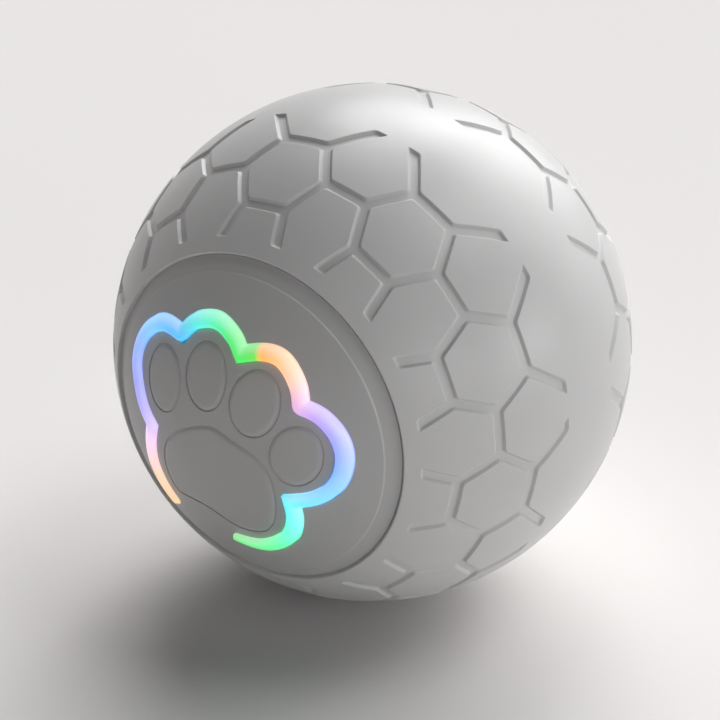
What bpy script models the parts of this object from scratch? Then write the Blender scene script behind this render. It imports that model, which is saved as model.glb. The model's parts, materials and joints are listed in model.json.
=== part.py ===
"""Bouncing ball for dogs, with a lit paw on one cap and a charging cap opposite.

A soft cover with two bands of hexagon grooves is stretched over a sealed shell of two halves.
In the shell a motor turns an eccentric weight through two gear stages, which makes the ball
hop and roll. The poles lie on the Y axis: the paw cap faces -Y and the charging cap faces +Y.
The origin is the ball's centre, and Z is up as the ball lies on the floor.
"""

from math import acos, asin, atan2, ceil, cos, hypot, pi, radians, sin, sqrt, tan

import bmesh
import bpy
from mathutils import Matrix, Vector
from mathutils.geometry import delaunay_2d_cdt

MM = 0.001

# Clearances that all pieces share
SEAT_GAP = 0.3 * MM
RUN_GAP = 0.1 * MM
OVERRUN = 2 * MM
MERGE = 0.002 * MM
SHARP_ANGLE = radians(35)
HOLE_SIDES = 8
SCREW_SIDES = 6
SCREW_BEVEL_SHARE = 1 / 3

# Ball, soft cover and hard shell
BALL_RADIUS = 42.5 * MM
COVER_WALL = 3.2 * MM
SHELL_WALL = 2.2 * MM
OPENING_RADIUS = 28.1 * MM
COVER_INSIDE = BALL_RADIUS - COVER_WALL
SHELL_RADIUS = COVER_INSIDE - SEAT_GAP
SHELL_INSIDE = SHELL_RADIUS - SHELL_WALL
OPENING_ANGLE = asin(OPENING_RADIUS / BALL_RADIUS)
PLATE_OUT = COVER_INSIDE * cos(OPENING_ANGLE)
PLATE_IN = PLATE_OUT - SHELL_WALL

# Tread: grooves along the edges of ten hexagon cells in each band
TREAD_CELLS = 10
TREAD_TURN = radians(41.2)
HALF_CELL = pi / TREAD_CELLS
GROOVE_WIDTH = 1.7 * MM
GROOVE_DEPTH = 0.9 * MM
GROOVE_DRAFT = 0.25 * MM
TREAD_SHARP_ANGLE = radians(24)
COVER_STEPS = 3
COVER_ROWS = 8
# Corners of the groove net, each as a share of half a cell's width and of the way from the
# opening's rim to the equator
BELT_END_SHARES = (0.247, 0.821)
UPPER_SHARES = (0.678, 0.627)
MIDDLE_SHARES = (0.328, 0.442)
LOWER_SHARES = (0.633, 0.249)
RIM_END_SHARES = (0.439, 0.080)

# Shell halves: the lip of the front half slides into a recess of the rear half
ROUND_SIDES = TREAD_CELLS * COVER_STEPS
PARTING_GAP = 0.15 * MM
LIP_WALL = 0.9 * MM
LIP_LENGTH = 3.0 * MM
SEAL_WIRE = 0.9 * MM
SEAL_SIDES = 5
SEAL_ROOM = LIP_LENGTH + SEAL_WIRE + 2 * SEAT_GAP
LIP_OUTSIDE = SHELL_INSIDE + LIP_WALL
RECESS_RADIUS = LIP_OUTSIDE + SEAT_GAP

# Shell screws, in bosses on a circle
SHELL_SCREWS = 4
BOSS_RADIUS = 3.6 * MM
BOSS_INSET = 1.7 * MM
BOSS_CIRCLE = SHELL_INSIDE - BOSS_RADIUS - BOSS_INSET
BOSS_FLOOR = 4.5 * MM
SHELL_SCREW_SHANK = 1.0 * MM
SHELL_SCREW_HEAD = 2.1 * MM
SHELL_SCREW_HEAD_HEIGHT = 1.8 * MM
SHELL_SCREW_GRIP = 10.0 * MM

# Frame plate in the parting plane
FRAME_HALF = 1.2 * MM
FRAME_INSET = 1.3 * MM
FRAME_RADIUS = SHELL_INSIDE - FRAME_INSET
FRAME_SEAT = FRAME_HALF + SEAT_GAP
WINDOW_WIDTH = 6.0 * MM
WINDOW_MARGIN = 2.5 * MM
WINDOW_SPAN = radians(44)
WINDOW_STEPS = 5
WINDOW_ANGLES = (radians(180), radians(232), radians(308))

# Caps: a ring below the ball's surface round a domed disc
CAP_WALL = 2.0 * MM
CAP_SEAM = 0.35 * MM
CAP_SIDES = 32
RING_WIDTH = 2.6 * MM
RING_SINK = 0.35 * MM
RING_BEVEL = 0.35 * MM
DOME_DROP = 0.7 * MM
DOME_EDGE_SINK = 0.5 * MM
DOME_STEP = 0.4 * MM
DOME_LEAN = 0.1 * MM
RELIEF_HEIGHT = 0.5 * MM
RELIEF_DRAFT = 0.15 * MM
DOME_GRID = 8.0 * MM
DOME_EDGE_RADIUS = OPENING_RADIUS - RING_WIDTH
DOME_EDGE_HEIGHT = sqrt(BALL_RADIUS ** 2 - DOME_EDGE_RADIUS ** 2) - DOME_EDGE_SINK
DOME_TOP = BALL_RADIUS - DOME_DROP
DOME_RISE = DOME_TOP - DOME_EDGE_HEIGHT
DOME_RADIUS = (DOME_EDGE_RADIUS ** 2 + DOME_RISE ** 2) / (2 * DOME_RISE)
DOME_CENTRE = DOME_TOP - DOME_RADIUS
CAP_FOOT = PLATE_OUT + SEAT_GAP
CAP_HOLLOW_RADIUS = DOME_EDGE_RADIUS - CAP_WALL

# Cap screws, driven from inside the shell into bosses under the caps
CAP_SCREWS = 3
CAP_SCREW_CIRCLE = 12.0 * MM
CAP_SCREW_SHANK = 0.9 * MM
CAP_SCREW_HEAD = 1.9 * MM
CAP_SCREW_HEAD_HEIGHT = 1.2 * MM
CAP_BOSS_WALL = 1.1 * MM
CAP_BOSS_SHOULDER = 1.0 * MM
CAP_SCREW_GRIP = 5.0 * MM
PAD_WALL = 1.1 * MM
CAP_SPIGOT_RADIUS = CAP_SCREW_SHANK + RUN_GAP + CAP_BOSS_WALL
CAP_BOSS_RADIUS = CAP_SPIGOT_RADIUS + CAP_BOSS_SHOULDER

# Circuit boards, one under each cap
BOARD_THICK = 1.0 * MM
BOARD_LIFT = 1.2 * MM
BOARD_MARGIN = 1.2 * MM
BOARD_LOW = PLATE_OUT + BOARD_LIFT
BOARD_TOP = BOARD_LOW + BOARD_THICK
BOARD_RADIUS = CAP_HOLLOW_RADIUS - BOARD_MARGIN

# Paw on the front cap, seen from the front: x to the right, z up, as shares of its reach
PAW_MARGIN = 3.5 * MM
PAW_REACH = DOME_EDGE_RADIUS - PAW_MARGIN
GUIDE_WIDTH = 3.0 * MM
GUIDE_RISE = 1.2 * MM
GUIDE_BEVEL = 0.55 * MM
GUIDE_SINK = 1.2 * MM
GUIDE_PLAY = 0.25 * MM
GUIDE_PIN_RADIUS = 1.0 * MM
GUIDE_TIP_SHARE = 0.5
GUIDE_TAPER_STEPS = 3
LOBE_STEPS = 6
TOE_SIDES = 14
PAD_STEPS = 2
# Toes: centre x and z, half length, half width, and the long axis's turn in degrees
TOE_SHARES = (
    (-0.577, 0.295, 0.255, 0.180, 86),
    (-0.164, 0.455, 0.250, 0.186, 90),
    (0.264, 0.368, 0.255, 0.198, 78),
    (0.591, 0.032, 0.245, 0.192, 74),
)
PAD_SHARES = (
    (-0.56, -0.22), (-0.37, -0.02), (-0.10, 0.10), (0.10, 0.05), (0.33, -0.06), (0.42, -0.26),
    (0.40, -0.52), (0.28, -0.70), (0.06, -0.745), (-0.18, -0.66), (-0.34, -0.64),
    (-0.53, -0.635), (-0.61, -0.45),
)
# Light guide: six curves that meet at the notches between the lobes
LOBE_SHARES = (
    ((-0.577, -0.809), (-0.700, -0.664), (-0.768, -0.477), (-0.755, -0.291), (-0.709, -0.127)),
    ((-0.709, -0.127), (-0.832, 0.018), (-0.923, 0.295), (-0.855, 0.520), (-0.664, 0.668),
     (-0.441, 0.673)),
    ((-0.441, 0.673), (-0.318, 0.775), (-0.127, 0.841), (0.027, 0.782), (0.114, 0.691)),
    ((0.114, 0.691), (0.309, 0.741), (0.450, 0.705), (0.568, 0.568), (0.614, 0.418)),
    ((0.614, 0.418), (0.764, 0.359), (0.882, 0.227), (0.927, 0.055), (0.868, -0.145),
     (0.723, -0.286), (0.545, -0.350)),
    ((0.545, -0.350), (0.550, -0.500), (0.491, -0.664), (0.359, -0.795), (0.195, -0.868),
     (-0.041, -0.864)),
)

# Lamps under the light guide
LAMPS = 8
LAMP_LENGTH = 2.6 * MM
LAMP_HEIGHT = 0.9 * MM
LAMP_BEVEL = 0.3 * MM

# Power button in the middle of the rear cap, and its switch
BUTTON_RADIUS = 6.0 * MM
BUTTON_PLAY = 0.3 * MM
BUTTON_EDGE = 0.8 * MM
BUTTON_TRAVEL = 0.3 * MM
FLANGE_WIDTH = 1.3 * MM
FLANGE_THICK = 0.9 * MM
STEM_RADIUS = 1.6 * MM
SWITCH_WIDTH = 6.0 * MM
SWITCH_HEIGHT = 3.0 * MM
PLUNGER_RADIUS = 1.7 * MM
PLUNGER_RISE = 0.9 * MM
PLUNGER_DEPTH = 1.3 * MM
CAP_HIGHEST = DOME_TOP + RELIEF_HEIGHT

# Motion sensor and chips on the main board
SENSOR_RADIUS = 1.7 * MM
SENSOR_HEIGHT = 3.0 * MM
SENSOR_X = 12.0 * MM
SENSOR_Z = 10.0 * MM
CHIP_WIDTH = 5.5 * MM
CHIP_HEIGHT = 0.9 * MM
CHIP_X = 12.0 * MM
CHIP_Z = 3.5 * MM
CHIP_CORNER = 0.3 * MM

# Charging socket and its plug
PORT_Z = -15.0 * MM
SOCKET_WIDTH = 8.9 * MM
SOCKET_DEPTH = 3.2 * MM
SOCKET_DROP = 0.40936 * MM
SOCKET_WALL = 0.3 * MM
SOCKET_FLOOR = 0.8 * MM
PORT_ROUND_SHARE = 0.98
TONGUE_WIDTH = 6.4 * MM
TONGUE_THICK = 0.7 * MM
TONGUE_DROP = 0.6 * MM
TONGUE_CORNER = 0.2 * MM
PORT_PLAY = 0.35 * MM
PLUG_MARGIN = 2.0 * MM
PLUG_RECESS = 1.5 * MM
SOCKET_FAR = SOCKET_DEPTH / 2 - PORT_Z
SOCKET_TOP = (DOME_CENTRE + sqrt(DOME_RADIUS ** 2 - SOCKET_FAR ** 2)
              - PLUG_RECESS - SOCKET_DROP)
PLUG_PLAY = 0.25 * MM
PLUG_TIP_GAP = 0.6 * MM
PLUG_SKIRT_WALL = 0.4 * MM
CORNER_STEPS = 2

# Gear train
GEAR_MODULE = 0.6 * MM
PRESSURE_ANGLE = radians(25)
ADDENDUM_SHARE = 0.9
DEDENDUM_SHARE = 1.2
BACKLASH = 0.09 * MM
PINION_TEETH = 10
IDLER_TEETH = 40
STAGE_TEETH = 12
OUTPUT_TEETH = 43
GEAR_WIDTH = 3.0 * MM
STAGE_LAP = 0.6 * MM
WEB_THICK = 1.0 * MM
RIM_WALL = 1.6 * MM
HUB_WALL = 1.8 * MM
MOTOR_Z = -14.0 * MM
MOTOR_CENTRES = GEAR_MODULE * (PINION_TEETH + IDLER_TEETH) / 2
OUTPUT_CENTRES = GEAR_MODULE * (STAGE_TEETH + OUTPUT_TEETH) / 2

# Shafts and bushes
SHAFT_RADIUS = 1.5 * MM
SHAFT_SIDES = 12
BUSH_WALL = 1.2 * MM
BUSH_FLANGE = 0.7 * MM
BUSH_FLANGE_WIDTH = 0.6 * MM
BUSH_LENGTH = 3.6 * MM
BUSH_HOLDER_WALL = 1.6 * MM
IDLER_PIN_RADIUS = 1.0 * MM
MOTOR_SHAFT_RADIUS = 1.0 * MM

# Motor
MOTOR_RADIUS = 10.2 * MM
MOTOR_FLATS = 15.4 * MM
MOTOR_STEPS = 6
MOTOR_CLEARANCE = 2.78406 * MM
MOTOR_EDGE = 0.8 * MM
MOTOR_END_THICK = 3.0 * MM
MOTOR_LENGTH = PLATE_IN - MOTOR_CLEARANCE - MOTOR_END_THICK - FRAME_SEAT
MOTOR_END_STEP = 0.7 * MM
MOTOR_NOSE_RADIUS = 3.0 * MM
MOTOR_SHAFT_DEPTH = 12.0 * MM
MOTOR_SCREW_PITCH = 6.0 * MM
MOTOR_SCREW_SHANK = 0.8 * MM
MOTOR_SCREW_HEAD = 1.5 * MM
MOTOR_SCREW_HEAD_HEIGHT = 0.7 * MM
MOTOR_SCREW_GRIP = 2.5 * MM

# Gear cover on three posts
COVER_PLATE_THICK = 1.6 * MM
POST_RADIUS = 2.1 * MM
POST_MARGIN = 1.0 * MM
POST_ANGLES = (radians(165), radians(55))
GEAR_SCREW_SHANK = 0.8 * MM
GEAR_SCREW_HEAD = 1.5 * MM
GEAR_SCREW_HEAD_HEIGHT = 0.9 * MM
COVER_RIM = 2.0 * MM

# Eccentric weight
WEIGHT_CLEARANCE = 1.73406 * MM
WEIGHT_MARGIN = 3.6 * MM
WEIGHT_EDGE = 0.8 * MM
WEIGHT_HUB_RADIUS = 5.0 * MM
WEIGHT_HUB_RISE = 1.0 * MM
WEIGHT_SCREW_RADIUS = 1.2 * MM
ARC_STEPS = 15
HUB_STEPS = 8

# Battery cell along X and its cradle on the frame
CELL_RADIUS = 7.0 * MM
CELL_LENGTH = 43.0 * MM
CELL_NUB_RADIUS = 2.6 * MM
CELL_NUB = 1.0 * MM
CELL_EDGE = 0.7 * MM
CELL_Z = 15.5 * MM
CELL_SIDES = 18
CRADLE_WALL = 1.1 * MM
CRADLE_LENGTH = 26.0 * MM
CRADLE_FOOT = 5.0 * MM
CRADLE_HUG = radians(118)
CRADLE_STEPS = 7

# Holes for the leads in the pole plates
LEAD_HOLE_RADIUS = 2.0 * MM
LEAD_HOLE_PLACE = 9.0 * MM

COLOURS = {
    "cover": ((0.60, 0.60, 0.61), 0.55, 0.0),
    "shell": ((0.72, 0.72, 0.73), 0.45, 0.0),
    "seal": ((0.03, 0.03, 0.03), 0.60, 0.0),
    "cap": ((0.50, 0.50, 0.51), 0.50, 0.0),
    "light": ((0.70, 0.85, 0.95), 0.25, 0.0),
    "board": ((0.02, 0.16, 0.07), 0.45, 0.0),
    "lamp": ((0.90, 0.90, 0.85), 0.35, 0.0),
    "button": ((0.45, 0.45, 0.46), 0.55, 0.0),
    "dark": ((0.05, 0.05, 0.05), 0.50, 0.0),
    "steel": ((0.62, 0.62, 0.63), 0.30, 1.0),
    "brass": ((0.70, 0.52, 0.22), 0.35, 1.0),
    "zinc": ((0.48, 0.49, 0.50), 0.50, 1.0),
    "gear": ((0.80, 0.78, 0.70), 0.45, 0.0),
    "frame": ((0.20, 0.21, 0.22), 0.50, 0.0),
    "cell": ((0.05, 0.22, 0.45), 0.40, 0.0),
    "plug": ((0.40, 0.40, 0.41), 0.65, 0.0),
}


def clear_scene():
    """Remove what the file holds, so that the model starts empty."""
    for thing in list(bpy.data.objects):
        bpy.data.objects.remove(thing, do_unlink=True)


def material(slot):
    """Principled material of one slot of the colour table."""
    found = bpy.data.materials.get(slot)
    if found:
        return found
    colour, roughness, metallic = COLOURS[slot]
    made = bpy.data.materials.new(slot)
    made.use_nodes = True
    shader = made.node_tree.nodes["Principled BSDF"]
    shader.inputs["Base Color"].default_value = (*colour, 1)
    shader.inputs["Roughness"].default_value = roughness
    shader.inputs["Metallic"].default_value = metallic
    made.diffuse_color = (*colour, 1)
    return made


def polar(radius, angle, x=0, z=0):
    """Point at a radius and an angle from +X towards +Z round a centre."""
    return (x + radius * cos(angle), z + radius * sin(angle))


def circle(radius, sides, x=0, z=0, phase=0):
    """Outline of a pin or a disc: its corners lie on the radius."""
    return tuple(polar(radius, phase + 2 * pi * i / sides, x, z) for i in range(sides))


def bore(radius, sides, x=0, z=0, phase=0):
    """Outline of a hole: its flats stay outside the radius."""
    return circle(radius / cos(pi / sides), sides, x, z, phase)


def rounded_box(width, height, corner, x=0, z=0):
    """Outline of a rectangle with rounded corners."""
    points = []
    for turn, (right, up) in enumerate(((1, 1), (-1, 1), (-1, -1), (1, -1))):
        corner_x = x + right * (width / 2 - corner)
        corner_z = z + up * (height / 2 - corner)
        for i in range(CORNER_STEPS + 1):
            angle = (turn + i / CORNER_STEPS) * pi / 2
            points.append(polar(corner, angle, corner_x, corner_z))
    return tuple(points)


def inside(point, outlines):
    """Whether a flat point lies in the area that the outlines enclose, holes left out."""
    u, v = point
    crossings = 0
    for outline in outlines:
        for (u1, v1), (u2, v2) in zip(outline, outline[1:] + outline[:1]):
            if (v1 > v) != (v2 > v) and u < u1 + (v - v1) * (u2 - u1) / (v2 - v1):
                crossings += 1
    return crossings % 2 == 1


def distance_to(point, outlines):
    """Distance from a flat point to the nearest side of the outlines."""
    spot = Vector(point)
    nearest = None
    for outline in outlines:
        for start, end in zip(outline, outline[1:] + outline[:1]):
            first = Vector(start)
            run = Vector(end) - first
            share = (spot - first).dot(run) / max(run.length_squared, MERGE ** 2)
            gap = (first + run * min(1, max(0, share)) - spot).length
            nearest = gap if nearest is None else min(nearest, gap)
    return nearest


def level(height):
    """Flat surface across the Y axis at a height along it."""
    return lambda x, z: Vector((x, height, z))


class Skin:
    """Surface of a solid, made of loops of corners, walls between loops and filled areas."""

    def __init__(self):
        self.mesh = bmesh.new()
        self.flat = {}

    def loop(self, outline, surface):
        """Corners of an outline, put in space by a surface."""
        corners = []
        for u, v in outline:
            corner = self.mesh.verts.new(surface(u, v))
            self.flat[corner] = (u, v)
            corners.append(corner)
        return corners

    def wall(self, low, high, closed=True):
        """Faces between two loops with as many corners."""
        count = len(low) if closed else len(low) - 1
        for i in range(count):
            j = (i + 1) % len(low)
            self.mesh.faces.new((low[i], low[j], high[j], high[i]))

    def fill(self, loops, surface, spacing=0, scale=BALL_RADIUS):
        """Triangles over the area between loops, on a surface with inner points if it bends."""
        if not loops:
            return
        outlines = [[self.flat[corner] for corner in loop] for loop in loops]
        corners = [corner for loop in loops for corner in loop]
        sides = []
        for loop in loops:
            first = len(sides)
            sides += [(first + i, first + (i + 1) % len(loop)) for i in range(len(loop))]
        inner = grid_points(outlines, spacing) if spacing else []
        corners += self.loop(inner, surface)
        flat = [Vector(self.flat[corner]) / scale for corner in corners]
        found = delaunay_2d_cdt(flat, sides, [], 0, MERGE / BALL_RADIUS)
        for face in found[2]:
            own = [corners[found[3][index][0]] for index in face]
            middle = [sum(self.flat[corner][axis] for corner in own) / 3 for axis in (0, 1)]
            if inside(middle, outlines):
                self.mesh.faces.new(own)

    def column(self, *stages):
        """Closed column of stages, each an outline and the surfaces at its two ends."""
        before = []
        for outline, low, high in stages:
            bottom = self.loop(outline, low)
            self.fill(before + [bottom], low)
            before = [self.loop(outline, high)]
            self.wall(bottom, before[0])
        self.fill(before, stages[-1][-1])

    def finish(self, name, slot, sharp=SHARP_ANGLE):
        """Turn the surface into an object with outward faces and a material."""
        bmesh.ops.triangulate(self.mesh, faces=self.mesh.faces)
        bmesh.ops.recalc_face_normals(self.mesh, faces=self.mesh.faces)
        if self.mesh.calc_volume(signed=True) < 0:
            bmesh.ops.reverse_faces(self.mesh, faces=self.mesh.faces)
        data = bpy.data.meshes.new(name)
        self.mesh.to_mesh(data)
        self.mesh.free()
        data.materials.append(material(slot))
        data.shade_smooth()
        data.set_sharp_from_angle(angle=sharp)
        return placed(name, data)


def placed(name, data, x=0, y=0, z=0):
    """Object of a mesh at a place in the scene."""
    thing = bpy.data.objects.new(name, data)
    thing.location = (x, y, z)
    bpy.context.scene.collection.objects.link(thing)
    return thing


def grid_points(outlines, spacing):
    """Points of a triangular grid inside an area, clear of its edges."""
    us = [u for outline in outlines for u, _ in outline]
    vs = [v for outline in outlines for _, v in outline]
    row_step = spacing * sqrt(3) / 2
    points = []
    for row in range(ceil((max(vs) - min(vs)) / row_step)):
        v = min(vs) + (row + 0.5) * row_step
        for column in range(ceil((max(us) - min(us)) / spacing) + 1):
            u = min(us) + (column + row % 2 / 2) * spacing
            if inside((u, v), outlines) and distance_to((u, v), outlines) > spacing / 2:
                points.append((u, v))
    return points


def layered(name, slot, layers):
    """Solid of layers along Y, each given as low, high, outlines and any end outlines."""
    skin = Skin()
    carried = {}
    top = None
    for low, high, starts, *ends in layers:
        fresh = {outline: skin.loop(outline, level(low)) for outline in starts
                 if outline not in carried}
        ended = [loop for outline, loop in carried.items() if outline not in starts]
        skin.fill(ended + list(fresh.values()), level(low))
        here = {**carried, **fresh}
        carried = {}
        for start, end in zip(starts, ends[0] if ends else starts):
            carried[end] = skin.loop(end, level(high))
            skin.wall(here[start], carried[end])
        top = high
    skin.fill(list(carried.values()), level(top))
    return skin.finish(name, slot)


def turned(name, slot, profile, sides, phase=0, side=1):
    """Solid of a profile of radius and height, turned round Y; side -1 mirrors it in Y."""
    skin = Skin()
    rings = []
    for radius, height in profile:
        if radius:
            rings.append(skin.loop(circle(radius, sides, phase=phase), level(side * height)))
        else:
            rings.append(skin.loop([(0, 0)], level(side * height)) * sides)
    for low, high in zip(rings, rings[1:] + rings[:1]):
        for i in range(sides):
            j = (i + 1) % sides
            face = list(dict.fromkeys((low[i], low[j], high[j], high[i])))
            if len(face) > 2:
                skin.mesh.faces.new(face)
    return skin.finish(name, slot)


def guide(name, skin):
    """Hidden solid that a Boolean adds or cuts."""
    thing = skin.finish(name, "dark")
    thing.hide_render = True
    thing.display_type = "WIRE"
    return thing


def combine(target, tool, operation):
    """Add or cut a hidden solid."""
    step = target.modifiers.new(tool.name, "BOOLEAN")
    step.operation = operation
    step.object = tool
    step.solver = "EXACT"


def direction(longitude, colatitude):
    """Unit vector, with longitude from +X towards +Z and colatitude from the front pole."""
    ring = sin(colatitude)
    return Vector((ring * cos(longitude), -cos(colatitude), ring * sin(longitude)))


def on_ball(radius):
    """Surface of a sphere over longitude and colatitude."""
    return lambda longitude, colatitude: direction(longitude, colatitude) * radius


def net_corner(shares):
    """Longitude and colatitude of a corner of the groove net, from its shares."""
    across, down = shares
    return (across * HALF_CELL, OPENING_ANGLE + down * (pi / 2 - OPENING_ANGLE))


def meet(first, second, near):
    """Where two circles of the unit sphere cross, on the side of a direction."""
    first_axis, first_reach = first
    second_axis, second_reach = second
    lean = first_axis.dot(second_axis)
    base = (first_axis * (first_reach - second_reach * lean)
            + second_axis * (second_reach - first_reach * lean)) / (1 - lean * lean)
    across = first_axis.cross(second_axis)
    rise = across * (sqrt(1 - base.length_squared) / across.length)
    return max(base + rise, base - rise, key=near.dot)


def groove_edge(path, start, end, reach, inset):
    """Groove edge to the left of a path of corners, as longitudes and colatitudes.

    A corner that comes twice is a blind end, cut along its parallel and drawn back by inset.
    The edge starts and ends on the meridians start and end.
    """
    nodes = [direction(*corner) for corner in path]
    circles = [(direction(start + pi / 2, pi / 2), 0)]
    for here, there in zip(range(len(path) - 1), range(1, len(path))):
        if path[here] == path[there]:
            circles.append((direction(0, 0), cos(path[here][1] + inset)))
        else:
            circles.append((nodes[there].cross(nodes[here]).normalized(), sin(reach)))
    circles.append((direction(end + pi / 2, pi / 2), 0))
    near = [nodes[1]] + nodes[1:-1] + [nodes[-2]]
    edge = []
    for first, second, side in zip(circles, circles[1:], near):
        point = meet(first, second, side)
        edge.append((atan2(point.z, point.x), acos(-point.y)))
    return edge


def net_edges(reach, inset):
    """The three groove edges of half a cell: to the belt, round the cell and to the rim."""
    belt_end, upper, middle, lower, rim_end = (
        net_corner(shares) for shares in
        (BELT_END_SHARES, UPPER_SHARES, MIDDLE_SHARES, LOWER_SHARES, RIM_END_SHARES))
    over_middle = (-middle[0], middle[1])
    over_upper = (2 * HALF_CELL - upper[0], upper[1])
    over_lower = (2 * HALF_CELL - lower[0], lower[1])
    belt = groove_edge([over_middle, middle, upper, belt_end, belt_end, upper, over_upper],
                       0, HALF_CELL, reach, -inset)
    cell = groove_edge([over_upper, upper, middle, lower, over_lower],
                       HALF_CELL, HALF_CELL, reach, 0)
    rim = groove_edge([over_lower, lower, rim_end, rim_end, lower, middle, over_middle],
                      HALF_CELL, 0, reach, inset)
    return belt, cell, rim


def steps_between(first, last, step):
    """Evenly spaced values between two ends, without the ends."""
    count = max(1, round(abs(last - first) / step))
    return [first + (last - first) * i / count for i in range(1, count)]


def half_cell_mesh():
    """Outer face of the cover over half a cell, from the opening's rim to the equator."""
    skin = Skin()
    top = on_ball(BALL_RADIUS)
    floor = on_ball(BALL_RADIUS - GROOVE_DEPTH)
    reach = GROOVE_WIDTH / 2 / BALL_RADIUS
    draft = GROOVE_DRAFT / BALL_RADIUS
    upper_edges = [skin.loop(edge, top) for edge in net_edges(reach, 0)]
    lower_edges = [skin.loop(edge, floor) for edge in net_edges(reach - draft, draft)]
    for high, low in zip(upper_edges, lower_edges):
        skin.wall(low, high, closed=False)
    skin.fill([lower_edges[0] + lower_edges[1] + lower_edges[2]], floor, scale=1)

    row_step = (pi / 2 - OPENING_ANGLE) / COVER_ROWS
    column_step = HALF_CELL / COVER_STEPS
    columns = [i * column_step for i in range(COVER_STEPS + 1)]
    belt, cell, rim = upper_edges

    def meridian(longitude, first, last):
        """Corners on a meridian between two colatitudes."""
        places = [(longitude, v) for v in steps_between(first, last, row_step)]
        return skin.loop(places, top)

    equator = skin.loop([(u, pi / 2) for u in reversed(columns)], top)
    right = meridian(HALF_CELL, skin.flat[belt[-1]][1], pi / 2)
    left = meridian(0, pi / 2, skin.flat[belt[0]][1])
    skin.fill([belt + right + equator + left], top, column_step, scale=1)

    middle = meridian(HALF_CELL, skin.flat[cell[-1]][1], skin.flat[cell[0]][1])
    skin.fill([cell + middle], top, column_step, scale=1)

    opening = skin.loop([(u, OPENING_ANGLE) for u in columns], top)
    left = meridian(0, skin.flat[rim[-1]][1], OPENING_ANGLE)
    right = meridian(HALF_CELL, OPENING_ANGLE, skin.flat[rim[0]][1])
    skin.fill([rim + left + opening + right], top, column_step, scale=1)
    data = bpy.data.meshes.new("half_cell")
    skin.mesh.to_mesh(data)
    skin.mesh.free()
    return data


def shell_rows():
    """Colatitudes of the rings on the cover's inside, from the rim to the equator."""
    count = COVER_ROWS // 2
    return [OPENING_ANGLE + (pi / 2 - OPENING_ANGLE) * i / count for i in range(count + 1)]


def tread_cover():
    """Soft cover: half a cell repeated round both ends, closed by a smooth inside."""
    half = half_cell_mesh()
    skin = Skin()
    for cell in range(TREAD_CELLS):
        turn = Matrix.Rotation(-(TREAD_TURN + 2 * HALF_CELL * cell), 4, "Y")
        for across in (1, -1):
            for end in (1, -1):
                first = len(skin.mesh.verts)
                skin.mesh.from_mesh(half)
                skin.mesh.verts.ensure_lookup_table()
                bmesh.ops.transform(skin.mesh, verts=skin.mesh.verts[first:],
                                    matrix=turn @ Matrix.Diagonal((1, end, across, 1)))
    bpy.data.meshes.remove(half)
    bmesh.ops.remove_doubles(skin.mesh, verts=skin.mesh.verts, dist=MERGE)
    open_corners = {v for edge in skin.mesh.edges if edge.is_boundary for v in edge.verts}

    rows = shell_rows()
    rings = []
    for colatitude in rows + [pi - row for row in reversed(rows[:-1])]:
        place = on_ball(COVER_INSIDE)
        longitudes = [(TREAD_TURN + 2 * pi * i / ROUND_SIDES, colatitude)
                      for i in range(ROUND_SIDES)]
        rings.append(skin.loop(longitudes, place))
    for low, high in zip(rings, rings[1:]):
        skin.wall(low, high)
    for ring, end in ((rings[0], -1), (rings[-1], 1)):
        rim = [corner for corner in open_corners if corner.co.y * end > 0]
        rim.sort(key=lambda corner: (atan2(corner.co.z, corner.co.x) - TREAD_TURN
                                     + HALF_CELL / 4) % (2 * pi))
        for i, corner in enumerate(ring):
            following = ring[(i + 1) % len(ring)]
            outer = [rim[(2 * i + k) % len(rim)] for k in range(3)]
            skin.mesh.faces.new((corner, outer[0], outer[1]))
            skin.mesh.faces.new((corner, outer[1], following))
            skin.mesh.faces.new((following, outer[1], outer[2]))
    return skin.finish("tread_cover", "cover", TREAD_SHARP_ANGLE)


def arc(radius, colatitudes):
    """Profile points on a sphere, as radius from the axis and height along it."""
    return [(radius * sin(angle), radius * cos(angle)) for angle in colatitudes]


def height_on(radius, distance):
    """Height of a sphere about the origin at a distance from the axis."""
    return sqrt(radius ** 2 - distance ** 2)


def shell_outside():
    """Outer profile of a shell half, from its plate's edge to the parting gap."""
    edge = height_on(SHELL_RADIUS, PLATE_OUT)
    return ([(edge, PLATE_OUT)] + arc(SHELL_RADIUS, shell_rows()[1:-1])
            + [(SHELL_RADIUS, PARTING_GAP)])


def shell_inside():
    """Inner profile of a shell half, from the parting plane to its plate's inner edge."""
    edge = height_on(SHELL_INSIDE, PLATE_IN)
    return list(reversed(arc(SHELL_INSIDE, shell_rows()[1:-1]))) + [(edge, PLATE_IN)]


def boss_places():
    """Centres of the shell's screw bosses."""
    return [polar(BOSS_CIRCLE, 2 * pi * i / SHELL_SCREWS) for i in range(SHELL_SCREWS)]


def cap_screw_places():
    """Centres of the cap screws, alike at both ends."""
    return [polar(CAP_SCREW_CIRCLE, pi / 2 + 2 * pi * i / CAP_SCREWS) for i in range(CAP_SCREWS)]


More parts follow.
